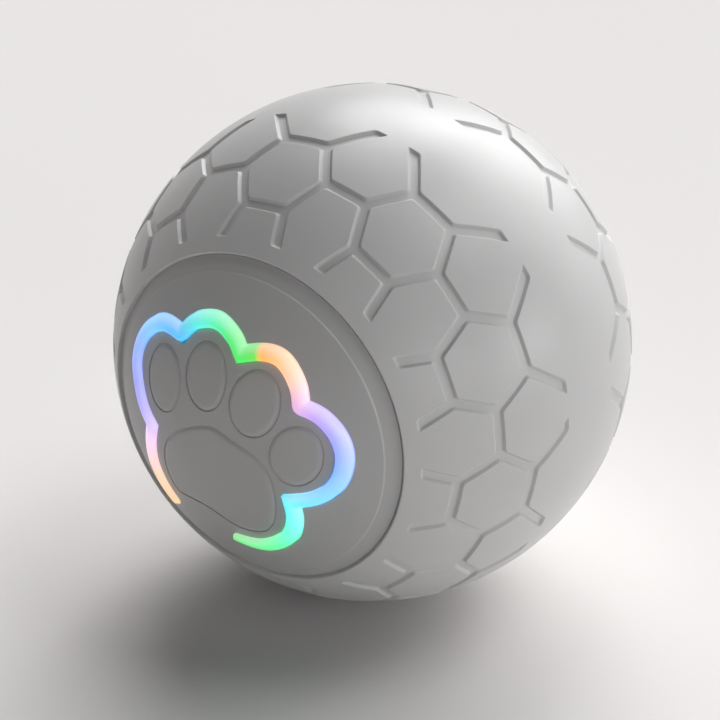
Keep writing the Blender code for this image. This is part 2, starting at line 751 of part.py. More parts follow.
def shell_half(name, profile, side, well):
    """Shell half with screw bosses, board pads and their holes."""
    shell = turned(name, "shell", profile, ROUND_SIDES, TREAD_TURN, side)
    middle = SHELL_INSIDE + SHELL_WALL / 2

    def wall_middle(x, z):
        """Sphere in the middle of the shell's wall."""
        return Vector((x, side * height_on(middle, hypot(x, z)), z))

    sides = HOLE_SIDES
    added = Skin()
    cut = Skin()
    for x, z in boss_places():
        added.column((circle(BOSS_RADIUS, sides, x, z), level(side * FRAME_SEAT), wall_middle))
        hole = bore(SHELL_SCREW_SHANK + RUN_GAP, sides, x, z)
        depth = BOSS_FLOOR + FRAME_SEAT if well else SHELL_SCREW_GRIP + SEAT_GAP
        stages = [(hole, level(side * (FRAME_SEAT - OVERRUN)), level(side * depth))]
        if well:
            stages.append((bore(SHELL_SCREW_HEAD + SEAT_GAP, sides, x, z), level(side * depth),
                           level(side * (SHELL_RADIUS + OVERRUN))))
        cut.column(*stages)
    for x, z in cap_screw_places():
        added.column((circle(CAP_SPIGOT_RADIUS + SEAT_GAP + PAD_WALL, sides, x, z),
                      level(side * (PLATE_OUT - SHELL_WALL / 2)),
                      level(side * (BOARD_LOW - SEAT_GAP))))
        cut.column((bore(CAP_SCREW_SHANK + SEAT_GAP, sides, x, z),
                    level(side * (PLATE_IN - OVERRUN)), level(side * PLATE_OUT)),
                   (bore(CAP_SPIGOT_RADIUS + SEAT_GAP, sides, x, z),
                    level(side * PLATE_OUT), level(side * (BOARD_LOW + OVERRUN))))
    lead = circle(LEAD_HOLE_RADIUS, sides, *polar(LEAD_HOLE_PLACE, pi))
    cut.column((lead, level(side * (PLATE_IN - OVERRUN)), level(side * (PLATE_OUT + OVERRUN))))
    combine(shell, guide(name + "_added", added), "UNION")
    combine(shell, guide(name + "_cut", cut), "DIFFERENCE")
    return shell


def front_shell():
    """Front half of the shell, with the lip and the holder of the shaft's front bush."""
    seat = SHAFT_RADIUS + RUN_GAP + BUSH_WALL + RUN_GAP
    holder = seat + BUSH_HOLDER_WALL
    profile = (
        [(0, PLATE_OUT)] + shell_outside()
        + [(LIP_OUTSIDE, PARTING_GAP), (LIP_OUTSIDE, -LIP_LENGTH), (SHELL_INSIDE, -LIP_LENGTH),
           (SHELL_INSIDE, PARTING_GAP)] + shell_inside()
        + [(holder, PLATE_IN), (holder, PLATE_IN - BUSH_LENGTH), (seat, PLATE_IN - BUSH_LENGTH),
           (seat, PLATE_IN + SEAT_GAP), (0, PLATE_IN + SEAT_GAP)])
    return shell_half("front_shell", profile, -1, False)


def rear_shell():
    """Rear half of the shell, with the recess for the lip and the seal."""
    profile = (
        [(0, PLATE_OUT)] + shell_outside()
        + [(RECESS_RADIUS, PARTING_GAP), (RECESS_RADIUS, SEAL_ROOM),
           (height_on(SHELL_INSIDE, SEAL_ROOM), SEAL_ROOM)] + shell_inside()
        + [(0, PLATE_IN)])
    return shell_half("rear_shell", profile, 1, True)


def shell_seal():
    """Ring of soft wire between the lip's end and the recess."""
    middle_radius = (SHELL_INSIDE + RECESS_RADIUS) / 2
    middle_height = (LIP_LENGTH + SEAL_ROOM) / 2
    profile = [polar(SEAL_WIRE / 2, 2 * pi * i / SEAL_SIDES, middle_radius, middle_height)
               for i in range(SEAL_SIDES)]
    turned("shell_seal", "seal", profile, ROUND_SIDES, TREAD_TURN)


def screw(name, x, z, seat, tip, shank, head, head_height):
    """Screw along Y from its head's seat to its tip."""
    sides = SCREW_SIDES
    out = 1 if seat > tip else -1
    head_line = circle(head, sides, x, z)
    bevel = head_height * SCREW_BEVEL_SHARE
    top_line = circle(head - bevel, sides, x, z)
    shank_line = circle(shank, sides, x, z)
    shoulder = seat + out * (head_height - bevel)
    layers = [(tip, seat, [shank_line]), (seat, shoulder, [head_line]),
              (shoulder, seat + out * head_height, [head_line], [top_line])]
    return layered(name, "steel", layers)


def shell_screws():
    """Screws that pull the halves together through the frame."""
    for number, (x, z) in enumerate(boss_places(), 1):
        screw("shell_screw_%d" % number, x, z, FRAME_SEAT + BOSS_FLOOR + SEAT_GAP,
              -SHELL_SCREW_GRIP, SHELL_SCREW_SHANK, SHELL_SCREW_HEAD, SHELL_SCREW_HEAD_HEIGHT)


def cap_screws(name, side):
    """Screws from inside the shell into the bosses of one cap."""
    for number, (x, z) in enumerate(cap_screw_places(), 1):
        screw("%s_screw_%d" % (name, number), x, z, side * (PLATE_IN - SEAT_GAP),
              side * (CAP_FOOT + CAP_SCREW_GRIP), CAP_SCREW_SHANK, CAP_SCREW_HEAD,
              CAP_SCREW_HEAD_HEIGHT)


def dome(side, offset=0):
    """Domed face of a cap, raised or sunk by an offset."""
    def surface(x, z):
        height = DOME_CENTRE + sqrt(DOME_RADIUS ** 2 - x * x - z * z) + offset
        return Vector((x, side * height, z))
    return surface


def dome_inside(side):
    """Inner face of a cap, one wall below the dome."""
    def surface(x, z):
        height = DOME_CENTRE + sqrt((DOME_RADIUS - CAP_WALL) ** 2 - x * x - z * z)
        return Vector((x, side * height, z))
    return surface


def cap_base(skin, side):
    """Rim and ring of a cap: returns the dome's edge and the edge of the hollow."""
    slope = tan(OPENING_ANGLE)
    edge_height = height_on(BALL_RADIUS, OPENING_RADIUS) - RING_SINK
    ring_inner = DOME_EDGE_RADIUS + DOME_STEP
    ring_height = height_on(BALL_RADIUS, ring_inner) - RING_SINK - DOME_EDGE_SINK
    profile = [
        (CAP_HOLLOW_RADIUS, CAP_FOOT),
        (CAP_FOOT * slope - CAP_SEAM, CAP_FOOT),
        ((edge_height - RING_BEVEL) * slope - CAP_SEAM, edge_height - RING_BEVEL),
        ((edge_height - RING_BEVEL) * slope - CAP_SEAM - RING_BEVEL, edge_height),
        (ring_inner, ring_height),
        (DOME_EDGE_RADIUS + DOME_LEAN, DOME_EDGE_HEIGHT - DOME_STEP / 2),
        (DOME_EDGE_RADIUS, DOME_EDGE_HEIGHT),
    ]
    rings = [skin.loop(circle(radius, CAP_SIDES), level(side * height))
             for radius, height in profile]
    for low, high in zip(rings, rings[1:]):
        skin.wall(low, high)
    hollow = skin.loop(circle(CAP_HOLLOW_RADIUS, CAP_SIDES), dome_inside(side))
    skin.wall(rings[0], hollow)
    return rings[-1], hollow


def cap_boss(skin, side, x, z):
    """Boss under a cap, with a shoulder on the board and a blind screw hole."""
    sides = HOLE_SIDES
    shoulder = side * (BOARD_TOP + SEAT_GAP)
    foot = side * CAP_FOOT
    depth = side * (CAP_FOOT + CAP_SCREW_GRIP + SEAT_GAP)
    wide = circle(CAP_BOSS_RADIUS, sides, x, z)
    slim = circle(CAP_SPIGOT_RADIUS, sides, x, z)
    hole = bore(CAP_SCREW_SHANK + RUN_GAP, sides, x, z)
    root = skin.loop(wide, dome_inside(side))
    shoulder_out = skin.loop(wide, level(shoulder))
    shoulder_in = skin.loop(slim, level(shoulder))
    foot_out = skin.loop(slim, level(foot))
    foot_in = skin.loop(hole, level(foot))
    blind = skin.loop(hole, level(depth))
    skin.wall(root, shoulder_out)
    skin.fill([shoulder_out, shoulder_in], level(shoulder))
    skin.wall(shoulder_in, foot_out)
    skin.fill([foot_out, foot_in], level(foot))
    skin.wall(foot_in, blind)
    skin.fill([blind], level(depth))
    return root


def spline(points, steps, closed=False):
    """Smooth curve through points, with steps to each stretch."""
    count = len(points)
    curve = []
    for i in range(count if closed else count - 1):
        if closed:
            a, b, c, d = (Vector(points[(i + k) % count]) for k in (-1, 0, 1, 2))
        else:
            b, c = Vector(points[i]), Vector(points[i + 1])
            a = Vector(points[i - 1]) if i else 2 * b - c
            d = Vector(points[i + 2]) if i + 2 < count else 2 * c - b
        for k in range(steps):
            t = k / steps
            curve.append(tuple(
                (b * 2 + (c - a) * t + (a * 2 - b * 5 + c * 4 - d) * t * t
                 + (b * 3 - a - c * 3 + d) * t ** 3) / 2))
    if not closed:
        curve.append(tuple(points[-1]))
    return curve


def even_points(curve, count):
    """Points at even distances along a curve."""
    lengths = [0]
    for (x1, z1), (x2, z2) in zip(curve, curve[1:]):
        lengths.append(lengths[-1] + hypot(x2 - x1, z2 - z1))
    points = []
    for k in range(count + 1):
        goal = lengths[-1] * k / count
        i = max(1, next(n for n, length in enumerate(lengths + [goal]) if length >= goal - MERGE))
        i = min(i, len(curve) - 1)
        share = (goal - lengths[i - 1]) / (lengths[i] - lengths[i - 1])
        points.append(tuple(Vector(curve[i - 1]).lerp(Vector(curve[i]), share)))
    return points


def guide_line():
    """Middle line of the light guide, from its tip at the lower left round the toes."""
    line = []
    for shares in LOBE_SHARES:
        points = [(x * PAW_REACH, z * PAW_REACH) for x, z in shares]
        line += even_points(spline(points, LOBE_STEPS), LOBE_STEPS)[:-1]
    line.append((LOBE_SHARES[-1][-1][0] * PAW_REACH, LOBE_SHARES[-1][-1][1] * PAW_REACH))
    return line


def guide_outline(half_width, end_gap=0):
    """Outline of the light guide, which narrows to a blunt point at both ends."""
    line = [Vector(point) for point in guide_line()]
    sides = ([], [])
    last = len(line) - 1
    for i, point in enumerate(line):
        before = point - line[max(0, i - 1)]
        after = line[min(last, i + 1)] - point
        before = (before if i else after).normalized()
        after = (after if i < last else before).normalized()
        along = (before + after).normalized()
        across = Vector((-along.y, along.x))
        lean = max(along.dot(before), cos(pi / 4))
        taper = min(i, last - i) / GUIDE_TAPER_STEPS
        share = min(1, GUIDE_TIP_SHARE + (1 - GUIDE_TIP_SHARE) * taper)
        reach = (half_width - GUIDE_WIDTH / 2 * (1 - share)) / lean
        if i in (0, last):
            point = point + along * (end_gap if i else -end_gap)
        sides[0].append(tuple(point + across * reach))
        sides[1].append(tuple(point - across * reach))
    return tuple(sides[0] + sides[1][::-1])


def lamp_places():
    """Centres of the lamps, spread along the light guide."""
    line = guide_line()
    return [line[round((k + 0.5) * (len(line) - 1) / LAMPS)] for k in range(LAMPS)]


def toe_outline(shares, draft=0):
    """Ellipse of one toe of the paw."""
    x, z, length, width, turn = shares
    long_axis = Vector((cos(radians(turn)), sin(radians(turn))))
    cross_axis = Vector((-long_axis.y, long_axis.x))
    centre = Vector((x * PAW_REACH, z * PAW_REACH))
    points = []
    for i in range(TOE_SIDES):
        angle = 2 * pi * i / TOE_SIDES
        points.append(tuple(
            centre + long_axis * (length * PAW_REACH - draft) * cos(angle)
            + cross_axis * (width * PAW_REACH - draft) * sin(angle)))
    return tuple(points)


def pad_outline(draft=0):
    """Outline of the paw's main pad, drawn in by a draft."""
    curve = spline([(x * PAW_REACH, z * PAW_REACH) for x, z in PAD_SHARES], PAD_STEPS, True)
    points = [Vector(point) for point in curve]
    outline = []
    for before, point, after in zip(points[-1:] + points[:-1], points, points[1:] + points[:1]):
        along = (after - before).normalized()
        outline.append(tuple(point + Vector((along.y, -along.x)) * draft))
    return tuple(outline)


def paw_cap():
    """Front cap: dome with raised toes and pad, and the channel of the light guide."""
    skin = Skin()
    face = dome(-1)
    raised = dome(-1, RELIEF_HEIGHT)
    sunk = dome(-1, -GUIDE_SINK - GUIDE_PLAY)
    under = dome_inside(-1)
    edge, hollow = cap_base(skin, -1)
    on_face = [edge]
    for outer, inner in ([(toe_outline(shares), toe_outline(shares, RELIEF_DRAFT))
                          for shares in TOE_SHARES] + [(pad_outline(), pad_outline(RELIEF_DRAFT))]):
        low = skin.loop(outer, face)
        high = skin.loop(inner, raised)
        skin.wall(low, high)
        skin.fill([high], raised, DOME_GRID)
        on_face.append(low)
    channel = guide_outline(GUIDE_WIDTH / 2 + GUIDE_PLAY, GUIDE_PLAY)
    channel_top = skin.loop(channel, face)
    channel_floor = skin.loop(channel, sunk)
    skin.wall(channel_top, channel_floor)
    on_face.append(channel_top)
    skin.fill(on_face, face, DOME_GRID)
    in_floor = [channel_floor]
    underneath = [hollow]
    for x, z in lamp_places():
        hole = bore(GUIDE_PIN_RADIUS + GUIDE_PLAY, HOLE_SIDES, x, z)
        high = skin.loop(hole, sunk)
        low = skin.loop(hole, under)
        skin.wall(high, low)
        in_floor.append(high)
        underneath.append(low)
    skin.fill(in_floor, sunk)
    underneath += [cap_boss(skin, -1, x, z) for x, z in cap_screw_places()]
    skin.fill(underneath, under, DOME_GRID)
    skin.finish("paw_cap", "cap")


def paw_light_guide():
    """Clear light guide: a rounded band in the cap's channel, with a pin over each lamp."""
    skin = Skin()
    floor = dome(-1, -GUIDE_SINK)
    shoulder = dome(-1, GUIDE_RISE - GUIDE_BEVEL)
    crest = dome(-1, GUIDE_RISE)
    outline = guide_outline(GUIDE_WIDTH / 2)
    low = skin.loop(outline, floor)
    middle = skin.loop(outline, shoulder)
    high = skin.loop(guide_outline(GUIDE_WIDTH / 2 - GUIDE_BEVEL, -GUIDE_BEVEL), crest)
    skin.wall(low, middle)
    skin.wall(middle, high)
    skin.fill([high], crest)
    under = [low]
    lamp_top = -(BOARD_TOP + SEAT_GAP + LAMP_HEIGHT + SEAT_GAP)
    for x, z in lamp_places():
        pin = circle(GUIDE_PIN_RADIUS, HOLE_SIDES, x, z)
        root = skin.loop(pin, floor)
        end = skin.loop(pin, level(lamp_top))
        skin.wall(root, end)
        skin.fill([end], level(lamp_top))
        under.append(root)
    skin.fill(under, floor)
    skin.finish("paw_light_guide", "light")


def board_holes():
    """Holes of a circuit board round the cap's spigots."""
    return [bore(CAP_SPIGOT_RADIUS + SEAT_GAP, HOLE_SIDES, x, z) for x, z in cap_screw_places()]


def led_board():
    """Round circuit board under the paw cap, which carries the lamps."""
    outline = circle(BOARD_RADIUS, CAP_SIDES)
    layered("led_board", "board", [(-BOARD_TOP, -BOARD_LOW, [outline] + board_holes())])


def lamps():
    """Square lamps under the pins of the light guide."""
    low = -(BOARD_TOP + SEAT_GAP)
    wall_top = low - LAMP_HEIGHT + LAMP_BEVEL
    for number, (x, z) in enumerate(lamp_places(), 1):
        half = LAMP_LENGTH / 2
        base = bore(half, 4, x, z, pi / 4)
        face = bore(half - LAMP_BEVEL, 4, x, z, pi / 4)
        layered("led_%d" % number, "lamp", [
            (low, wall_top, [base]), (wall_top, low - LAMP_HEIGHT, [base], [face])])


def plug_outline(margin):
    """Outline of the charging port, widened by a margin."""
    depth = SOCKET_DEPTH + 2 * margin
    corner = depth / 2 * PORT_ROUND_SHARE
    return rounded_box(SOCKET_WIDTH + 2 * margin, depth, corner, 0, PORT_Z)


def rear_cap():
    """Rear cap: the same dome with the button's hole and the recess of the plug."""
    skin = Skin()
    face = dome(1)
    under = dome_inside(1)
    sunk = dome(1, -PLUG_RECESS)
    edge, hollow = cap_base(skin, 1)
    button_hole = bore(BUTTON_RADIUS + BUTTON_PLAY, CAP_SIDES // 2)
    button_top = skin.loop(button_hole, face)
    button_low = skin.loop(button_hole, under)
    skin.wall(button_top, button_low)
    recess = plug_outline(PORT_PLAY + PLUG_MARGIN)
    recess_top = skin.loop(recess, face)
    recess_floor = skin.loop(recess, sunk)
    skin.wall(recess_top, recess_floor)
    opening = plug_outline(PORT_PLAY)
    opening_top = skin.loop(opening, sunk)
    opening_low = skin.loop(opening, under)
    skin.wall(opening_top, opening_low)
    skin.fill([recess_floor, opening_top], sunk)
    skin.fill([edge, button_top, recess_top], face, DOME_GRID)
    bosses = [cap_boss(skin, 1, x, z) for x, z in cap_screw_places()]
    skin.fill([hollow, button_low, opening_low] + bosses, under, DOME_GRID)
    skin.finish("rear_cap", "cap")


def main_board():
    """Round circuit board under the rear cap, with its chips."""
    outline = circle(BOARD_RADIUS, CAP_SIDES)
    chip_top = BOARD_TOP + CHIP_HEIGHT
    chips = [rounded_box(CHIP_WIDTH, CHIP_WIDTH, CHIP_CORNER, side * CHIP_X, CHIP_Z)
             for side in (1, -1)]
    layered("main_board", "board", [
        (BOARD_LOW, BOARD_TOP, [outline] + board_holes()),
        (BOARD_TOP, chip_top, chips)])


def motion_sensor():
    """Small can on the main board that wakes the ball when it is touched."""
    low = BOARD_TOP + SEAT_GAP
    can = circle(SENSOR_RADIUS, SHAFT_SIDES, SENSOR_X, SENSOR_Z)
    lid = circle(SENSOR_RADIUS - LAMP_BEVEL, SHAFT_SIDES, SENSOR_X, SENSOR_Z)
    high = low + SENSOR_HEIGHT
    layered("motion_sensor", "steel", [
        (low, high - LAMP_BEVEL, [can]), (high - LAMP_BEVEL, high, [can], [lid])])


def power_switch():
    """Tact switch on the main board and its plunger."""
    low = BOARD_TOP + SEAT_GAP
    high = low + SWITCH_HEIGHT
    box = rounded_box(SWITCH_WIDTH, SWITCH_WIDTH, LAMP_BEVEL)
    well = bore(PLUNGER_RADIUS + RUN_GAP, SHAFT_SIDES)
    layered("tact_switch", "dark", [
        (low, high - PLUNGER_DEPTH, [box]), (high - PLUNGER_DEPTH, high, [box, well])])
    foot = high - PLUNGER_DEPTH + BUTTON_TRAVEL + SEAT_GAP
    layered("switch_plunger", "button", [
        (foot, high + PLUNGER_RISE, [circle(PLUNGER_RADIUS, SHAFT_SIDES)])])


def power_button():
    """Round button that hangs in the rear cap by its flange and pushes the plunger."""
    sides = CAP_SIDES // 2
    flange_radius = BUTTON_RADIUS + FLANGE_WIDTH
    flange_top = dome_inside(1)(flange_radius, 0).y - SEAT_GAP
    flange_low = flange_top - FLANGE_THICK
    stem_low = BOARD_TOP + SEAT_GAP + SWITCH_HEIGHT + PLUNGER_RISE + RUN_GAP
    head = circle(BUTTON_RADIUS, sides)
    crown = circle(BUTTON_RADIUS - BUTTON_EDGE, sides)
    layered("power_button", "button", [
        (stem_low, flange_low, [circle(STEM_RADIUS, sides)]),
        (flange_low, flange_top, [circle(flange_radius, sides)]),
        (flange_top, CAP_HIGHEST - BUTTON_EDGE / 2, [head]),
        (CAP_HIGHEST - BUTTON_EDGE / 2, CAP_HIGHEST, [head], [crown])])


def usb_socket():
    """Charging socket that stands on the main board, with its tongue."""
    low = BOARD_TOP + SEAT_GAP
    high = SOCKET_TOP
    floor = low + SOCKET_FLOOR
    shell_line = plug_outline(0)
    mouth = plug_outline(-SOCKET_WALL)
    tongue = rounded_box(TONGUE_WIDTH, TONGUE_THICK, TONGUE_CORNER, 0, PORT_Z)
    tongue_top = high - TONGUE_DROP
    layered("usb_socket", "steel", [
        (low, floor, [shell_line]), (floor, tongue_top, [shell_line, mouth, tongue]),
        (tongue_top, high, [shell_line, mouth])])


def port_plug():
    """Soft plug: a head in the cap's recess and a skirt round the socket's tongue."""
    skin = Skin()
    face = dome(1)
    under = dome(1, -PLUG_RECESS + PLUG_PLAY)
    tip = BOARD_TOP + SEAT_GAP + SOCKET_FLOOR + PLUG_TIP_GAP
    head = plug_outline(PORT_PLAY + PLUG_MARGIN - PLUG_PLAY)
    skirt = plug_outline(-SOCKET_WALL - RUN_GAP)
    pocket = plug_outline(-SOCKET_WALL - RUN_GAP - PLUG_SKIRT_WALL)
    head_top = skin.loop(head, face)
    head_low = skin.loop(head, under)
    skin.wall(head_top, head_low)
    skin.fill([head_top], face)
    skirt_top = skin.loop(skirt, under)
    skirt_low = skin.loop(skirt, level(tip))
    skin.wall(skirt_top, skirt_low)
    skin.fill([head_low, skirt_top], under)
    pocket_low = skin.loop(pocket, level(tip))
    pocket_top = skin.loop(pocket, level(SOCKET_TOP))
    skin.fill([skirt_low, pocket_low], level(tip))
    skin.wall(pocket_low, pocket_top)
    skin.fill([pocket_top], level(SOCKET_TOP))
    skin.finish("port_plug", "plug")


def gear_outline(teeth, phase):
    """Involute gear outline with backlash, one tooth centred on the phase angle."""
    pitch = GEAR_MODULE * teeth / 2
    base = pitch * cos(PRESSURE_ANGLE)
    tip = pitch + ADDENDUM_SHARE * GEAR_MODULE
    root = pitch - DEDENDUM_SHARE * GEAR_MODULE

    def half_angle(radius):
        """Half of the angle that a tooth fills at a radius."""
        lean = acos(min(1, base / radius))
        return (pi / (2 * teeth) - BACKLASH / (2 * pitch) + tan(PRESSURE_ANGLE) - PRESSURE_ANGLE
                - tan(lean) + lean)

    points = []
    for i in range(teeth):
        middle = phase + 2 * pi * i / teeth
        for radius, side in ((root, -1), (tip, -1), (tip, 1), (root, 1)):
            points.append(polar(radius, middle + side * half_angle(radius)))
    return tuple(points)


def idler_centre():
    """Centre of the idler gear, at both centre distances from motor and output."""
    height = (MOTOR_Z ** 2 + OUTPUT_CENTRES ** 2 - MOTOR_CENTRES ** 2) / (2 * MOTOR_Z)
    return (sqrt(OUTPUT_CENTRES ** 2 - height ** 2), height)


# Stations along the drive's axis, from the frame to the weight
BUSH_FACE = -FRAME_HALF - BUSH_FLANGE
IDLER_START = BUSH_FACE - SEAT_GAP / 2
IDLER_MIDDLE = IDLER_START - GEAR_WIDTH
OUTPUT_START = IDLER_MIDDLE - STAGE_LAP
OUTPUT_END = OUTPUT_START - GEAR_WIDTH
IDLER_END = OUTPUT_END - SEAT_GAP
GEAR_COVER_LOW = IDLER_END - SEAT_GAP
GEAR_COVER_TOP = GEAR_COVER_LOW - COVER_PLATE_THICK
WEIGHT_START = GEAR_COVER_TOP - GEAR_SCREW_HEAD_HEIGHT - 2 * SEAT_GAP
WEIGHT_LOW = WEIGHT_START - WEIGHT_HUB_RISE
WEIGHT_END = -(PLATE_IN - BUSH_LENGTH - WEIGHT_CLEARANCE)
SHAFT_END = -(PLATE_IN - SEAT_GAP)


def motor_pinion():
    """Pinion on the motor's shaft."""
    idler_x, idler_z = idler_centre()
    toward = atan2(idler_z - MOTOR_Z, idler_x)
    hole = bore(MOTOR_SHAFT_RADIUS + RUN_GAP, SHAFT_SIDES)
    pinion = layered("motor_pinion", "brass", [
        (IDLER_MIDDLE, IDLER_START, [gear_outline(PINION_TEETH, toward), hole])])
    pinion.location = (0, 0, MOTOR_Z)
    shaft = layered("motor_shaft", "steel", [
        (IDLER_MIDDLE, FRAME_SEAT + MOTOR_SHAFT_DEPTH - SEAT_GAP,
         [circle(MOTOR_SHAFT_RADIUS, SHAFT_SIDES)])])
    shaft.location = (0, 0, MOTOR_Z)


def idler_gear():
    """Idler of two gears: forty teeth to the pinion and twelve to the output gear."""
    x, z = idler_centre()
    to_motor = atan2(MOTOR_Z - z, -x)
    to_output = atan2(-z, -x)
    large = gear_outline(IDLER_TEETH, to_motor + pi / IDLER_TEETH)
    small = gear_outline(STAGE_TEETH, to_output)
    rim = circle(GEAR_MODULE * (IDLER_TEETH / 2 - DEDENDUM_SHARE) - RIM_WALL, CAP_SIDES // 2)
    hub = circle(IDLER_PIN_RADIUS + RUN_GAP + HUB_WALL, SHAFT_SIDES)
    hole = bore(IDLER_PIN_RADIUS + RUN_GAP, HOLE_SIDES)
    idler = layered("idler_gear", "gear", [
        (IDLER_END, IDLER_MIDDLE, [small, hole]),
        (IDLER_MIDDLE, IDLER_MIDDLE + WEB_THICK, [large, hole]),
        (IDLER_MIDDLE + WEB_THICK, IDLER_START, [large, rim, hub, hole])])
    idler.location = (x, 0, z)
    pin = layered("idler_pin", "steel", [
        (GEAR_COVER_TOP + SEAT_GAP, FRAME_HALF - SEAT_GAP, [circle(IDLER_PIN_RADIUS, HOLE_SIDES)])])
    pin.location = (x, 0, z)


def output_gear():
    """Output gear on the weight's shaft."""
    x, z = idler_centre()
    teeth = gear_outline(OUTPUT_TEETH, atan2(z, x) + pi / OUTPUT_TEETH)
    rim = circle(GEAR_MODULE * (OUTPUT_TEETH / 2 - DEDENDUM_SHARE) - RIM_WALL, CAP_SIDES // 2)
    hub = circle(SHAFT_RADIUS + RUN_GAP + HUB_WALL, SHAFT_SIDES)
    hole = bore(SHAFT_RADIUS + RUN_GAP, SHAFT_SIDES)
    layered("output_gear", "gear", [
        (OUTPUT_END, OUTPUT_END + WEB_THICK, [teeth, hole]),
        (OUTPUT_END + WEB_THICK, OUTPUT_START, [teeth, rim, hub, hole])])


def drive_shaft():
    """Steel shaft from the frame to the front shell."""
    layered("drive_shaft", "steel", [
        (SHAFT_END, FRAME_HALF - SEAT_GAP, [circle(SHAFT_RADIUS, SHAFT_SIDES)])])


def shaft_bushes():
    """Flanged bush in the frame and plain bush in the front shell."""
    hole = bore(SHAFT_RADIUS + RUN_GAP, SHAFT_SIDES)
    barrel = circle(SHAFT_RADIUS + RUN_GAP + BUSH_WALL, SHAFT_SIDES)
    flange = circle(SHAFT_RADIUS + RUN_GAP + BUSH_WALL + BUSH_FLANGE_WIDTH, SHAFT_SIDES)
    layered("rear_bush", "brass", [
        (BUSH_FACE, -FRAME_HALF - RUN_GAP, [flange, hole]),
        (-FRAME_HALF - RUN_GAP, FRAME_HALF, [barrel, hole])])
    layered("front_bush", "brass", [
        (-PLATE_IN, -PLATE_IN + BUSH_LENGTH, [barrel, hole])])


def post_places():
    """Centres of the gear cover's posts, clear of the output gear, idler and pinion."""
    ring = GEAR_MODULE * (OUTPUT_TEETH / 2 + ADDENDUM_SHARE) + POST_RADIUS + POST_MARGIN
    low = MOTOR_Z - MOTOR_RADIUS + POST_RADIUS + POST_MARGIN
    places = [polar(ring, angle) for angle in POST_ANGLES]
    return places + [(-POST_RADIUS - POST_MARGIN, low)]


def turn_left(first, second, third):
    """Twice the area of a triangle, positive when its corners turn left."""
    return ((second[0] - first[0]) * (third[1] - first[1])
            - (second[1] - first[1]) * (third[0] - first[0]))


def convex_outline(points):
    """Convex outline round a set of points."""
    ordered = sorted(points)
    outline = []
    for run in (ordered, ordered[::-1]):
        part = []
        for point in run:
            while len(part) > 1 and turn_left(part[-2], part[-1], point) <= 0:
                part.pop()
            part.append(point)
        outline += part[:-1]
    return tuple(outline)


def gear_cover():
    """Plate in front of the gears, on three posts."""
    spots = post_places()
    centres = spots + [idler_centre()]
    around = [point for x, z in centres
              for point in circle(POST_RADIUS + COVER_RIM, SHAFT_SIDES, x, z)]
    outline = convex_outline(around)
    holes = [bore(GEAR_SCREW_SHANK + RUN_GAP, HOLE_SIDES, x, z) for x, z in spots]
    posts = [circle(POST_RADIUS, HOLE_SIDES, x, z) for x, z in spots]
    shaft_hole = bore(SHAFT_RADIUS + SEAT_GAP, SHAFT_SIDES)
    pin_hole = bore(IDLER_PIN_RADIUS + RUN_GAP, HOLE_SIDES, *idler_centre())
    layered("gear_cover", "frame", [
        (GEAR_COVER_TOP, GEAR_COVER_LOW, [outline, shaft_hole, pin_hole] + holes),
        (GEAR_COVER_LOW, -FRAME_SEAT, posts + holes)])
    for number, (x, z) in enumerate(spots, 1):
        screw("gear_screw_%d" % number, x, z, GEAR_COVER_TOP - SEAT_GAP, FRAME_HALF - SEAT_GAP,
              GEAR_SCREW_SHANK, GEAR_SCREW_HEAD, GEAR_SCREW_HEAD_HEIGHT)


def window_outline(middle):
    """Curved window in the frame plate, centred on an angle."""
    outer = BOSS_CIRCLE - BOSS_RADIUS - WINDOW_MARGIN
    inner = outer - WINDOW_WIDTH
    angles = [middle + WINDOW_SPAN * (i / WINDOW_STEPS - 0.5) for i in range(WINDOW_STEPS + 1)]
    return tuple([polar(outer, angle) for angle in angles]
                 + [polar(inner, angle) for angle in reversed(angles)])


def motor_screw_places():
    """Centres of the motor's screws, above and below its shaft."""
    return [(0, MOTOR_Z + MOTOR_SCREW_PITCH), (0, MOTOR_Z - MOTOR_SCREW_PITCH)]


def drive_frame():
    """Plate in the parting plane that carries motor, gears and battery."""
    disc = circle(FRAME_RADIUS, CAP_SIDES)
    through = [bore(SHELL_SCREW_SHANK + SEAT_GAP, HOLE_SIDES, x, z) for x, z in boss_places()]
    through += [bore(GEAR_SCREW_SHANK + RUN_GAP, HOLE_SIDES, x, z) for x, z in post_places()]
    through += [window_outline(angle) for angle in WINDOW_ANGLES]
    through.append(bore(SHAFT_RADIUS + BUSH_WALL + 2 * RUN_GAP, SHAFT_SIDES))
    through.append(bore(IDLER_PIN_RADIUS + RUN_GAP, HOLE_SIDES, *idler_centre()))
    through.append(bore(MOTOR_NOSE_RADIUS + SEAT_GAP, SHAFT_SIDES, 0, MOTOR_Z))
    wide = [bore(MOTOR_SCREW_HEAD + SEAT_GAP, HOLE_SIDES, x, z) for x, z in motor_screw_places()]
    slim = [bore(MOTOR_SCREW_SHANK + RUN_GAP, HOLE_SIDES, x, z) for x, z in motor_screw_places()]
    counterbore = -FRAME_HALF + MOTOR_SCREW_HEAD_HEIGHT + SEAT_GAP
    layered("drive_frame", "frame", [
        (-FRAME_HALF, counterbore, [disc] + through + wide),
        (counterbore, FRAME_HALF, [disc] + through + slim)])


def motor_outline(inset=0):
    """Round outline with two flats, as on a small motor's can."""
    flat = MOTOR_FLATS / 2 - inset
    radius = MOTOR_RADIUS - inset
    reach = asin(flat / radius)
    points = []
    for middle in (pi / 2, 3 * pi / 2):
        points += [polar(radius, middle + reach * (2 * i / MOTOR_STEPS - 1))
                   for i in range(MOTOR_STEPS + 1)]
    return tuple(points)


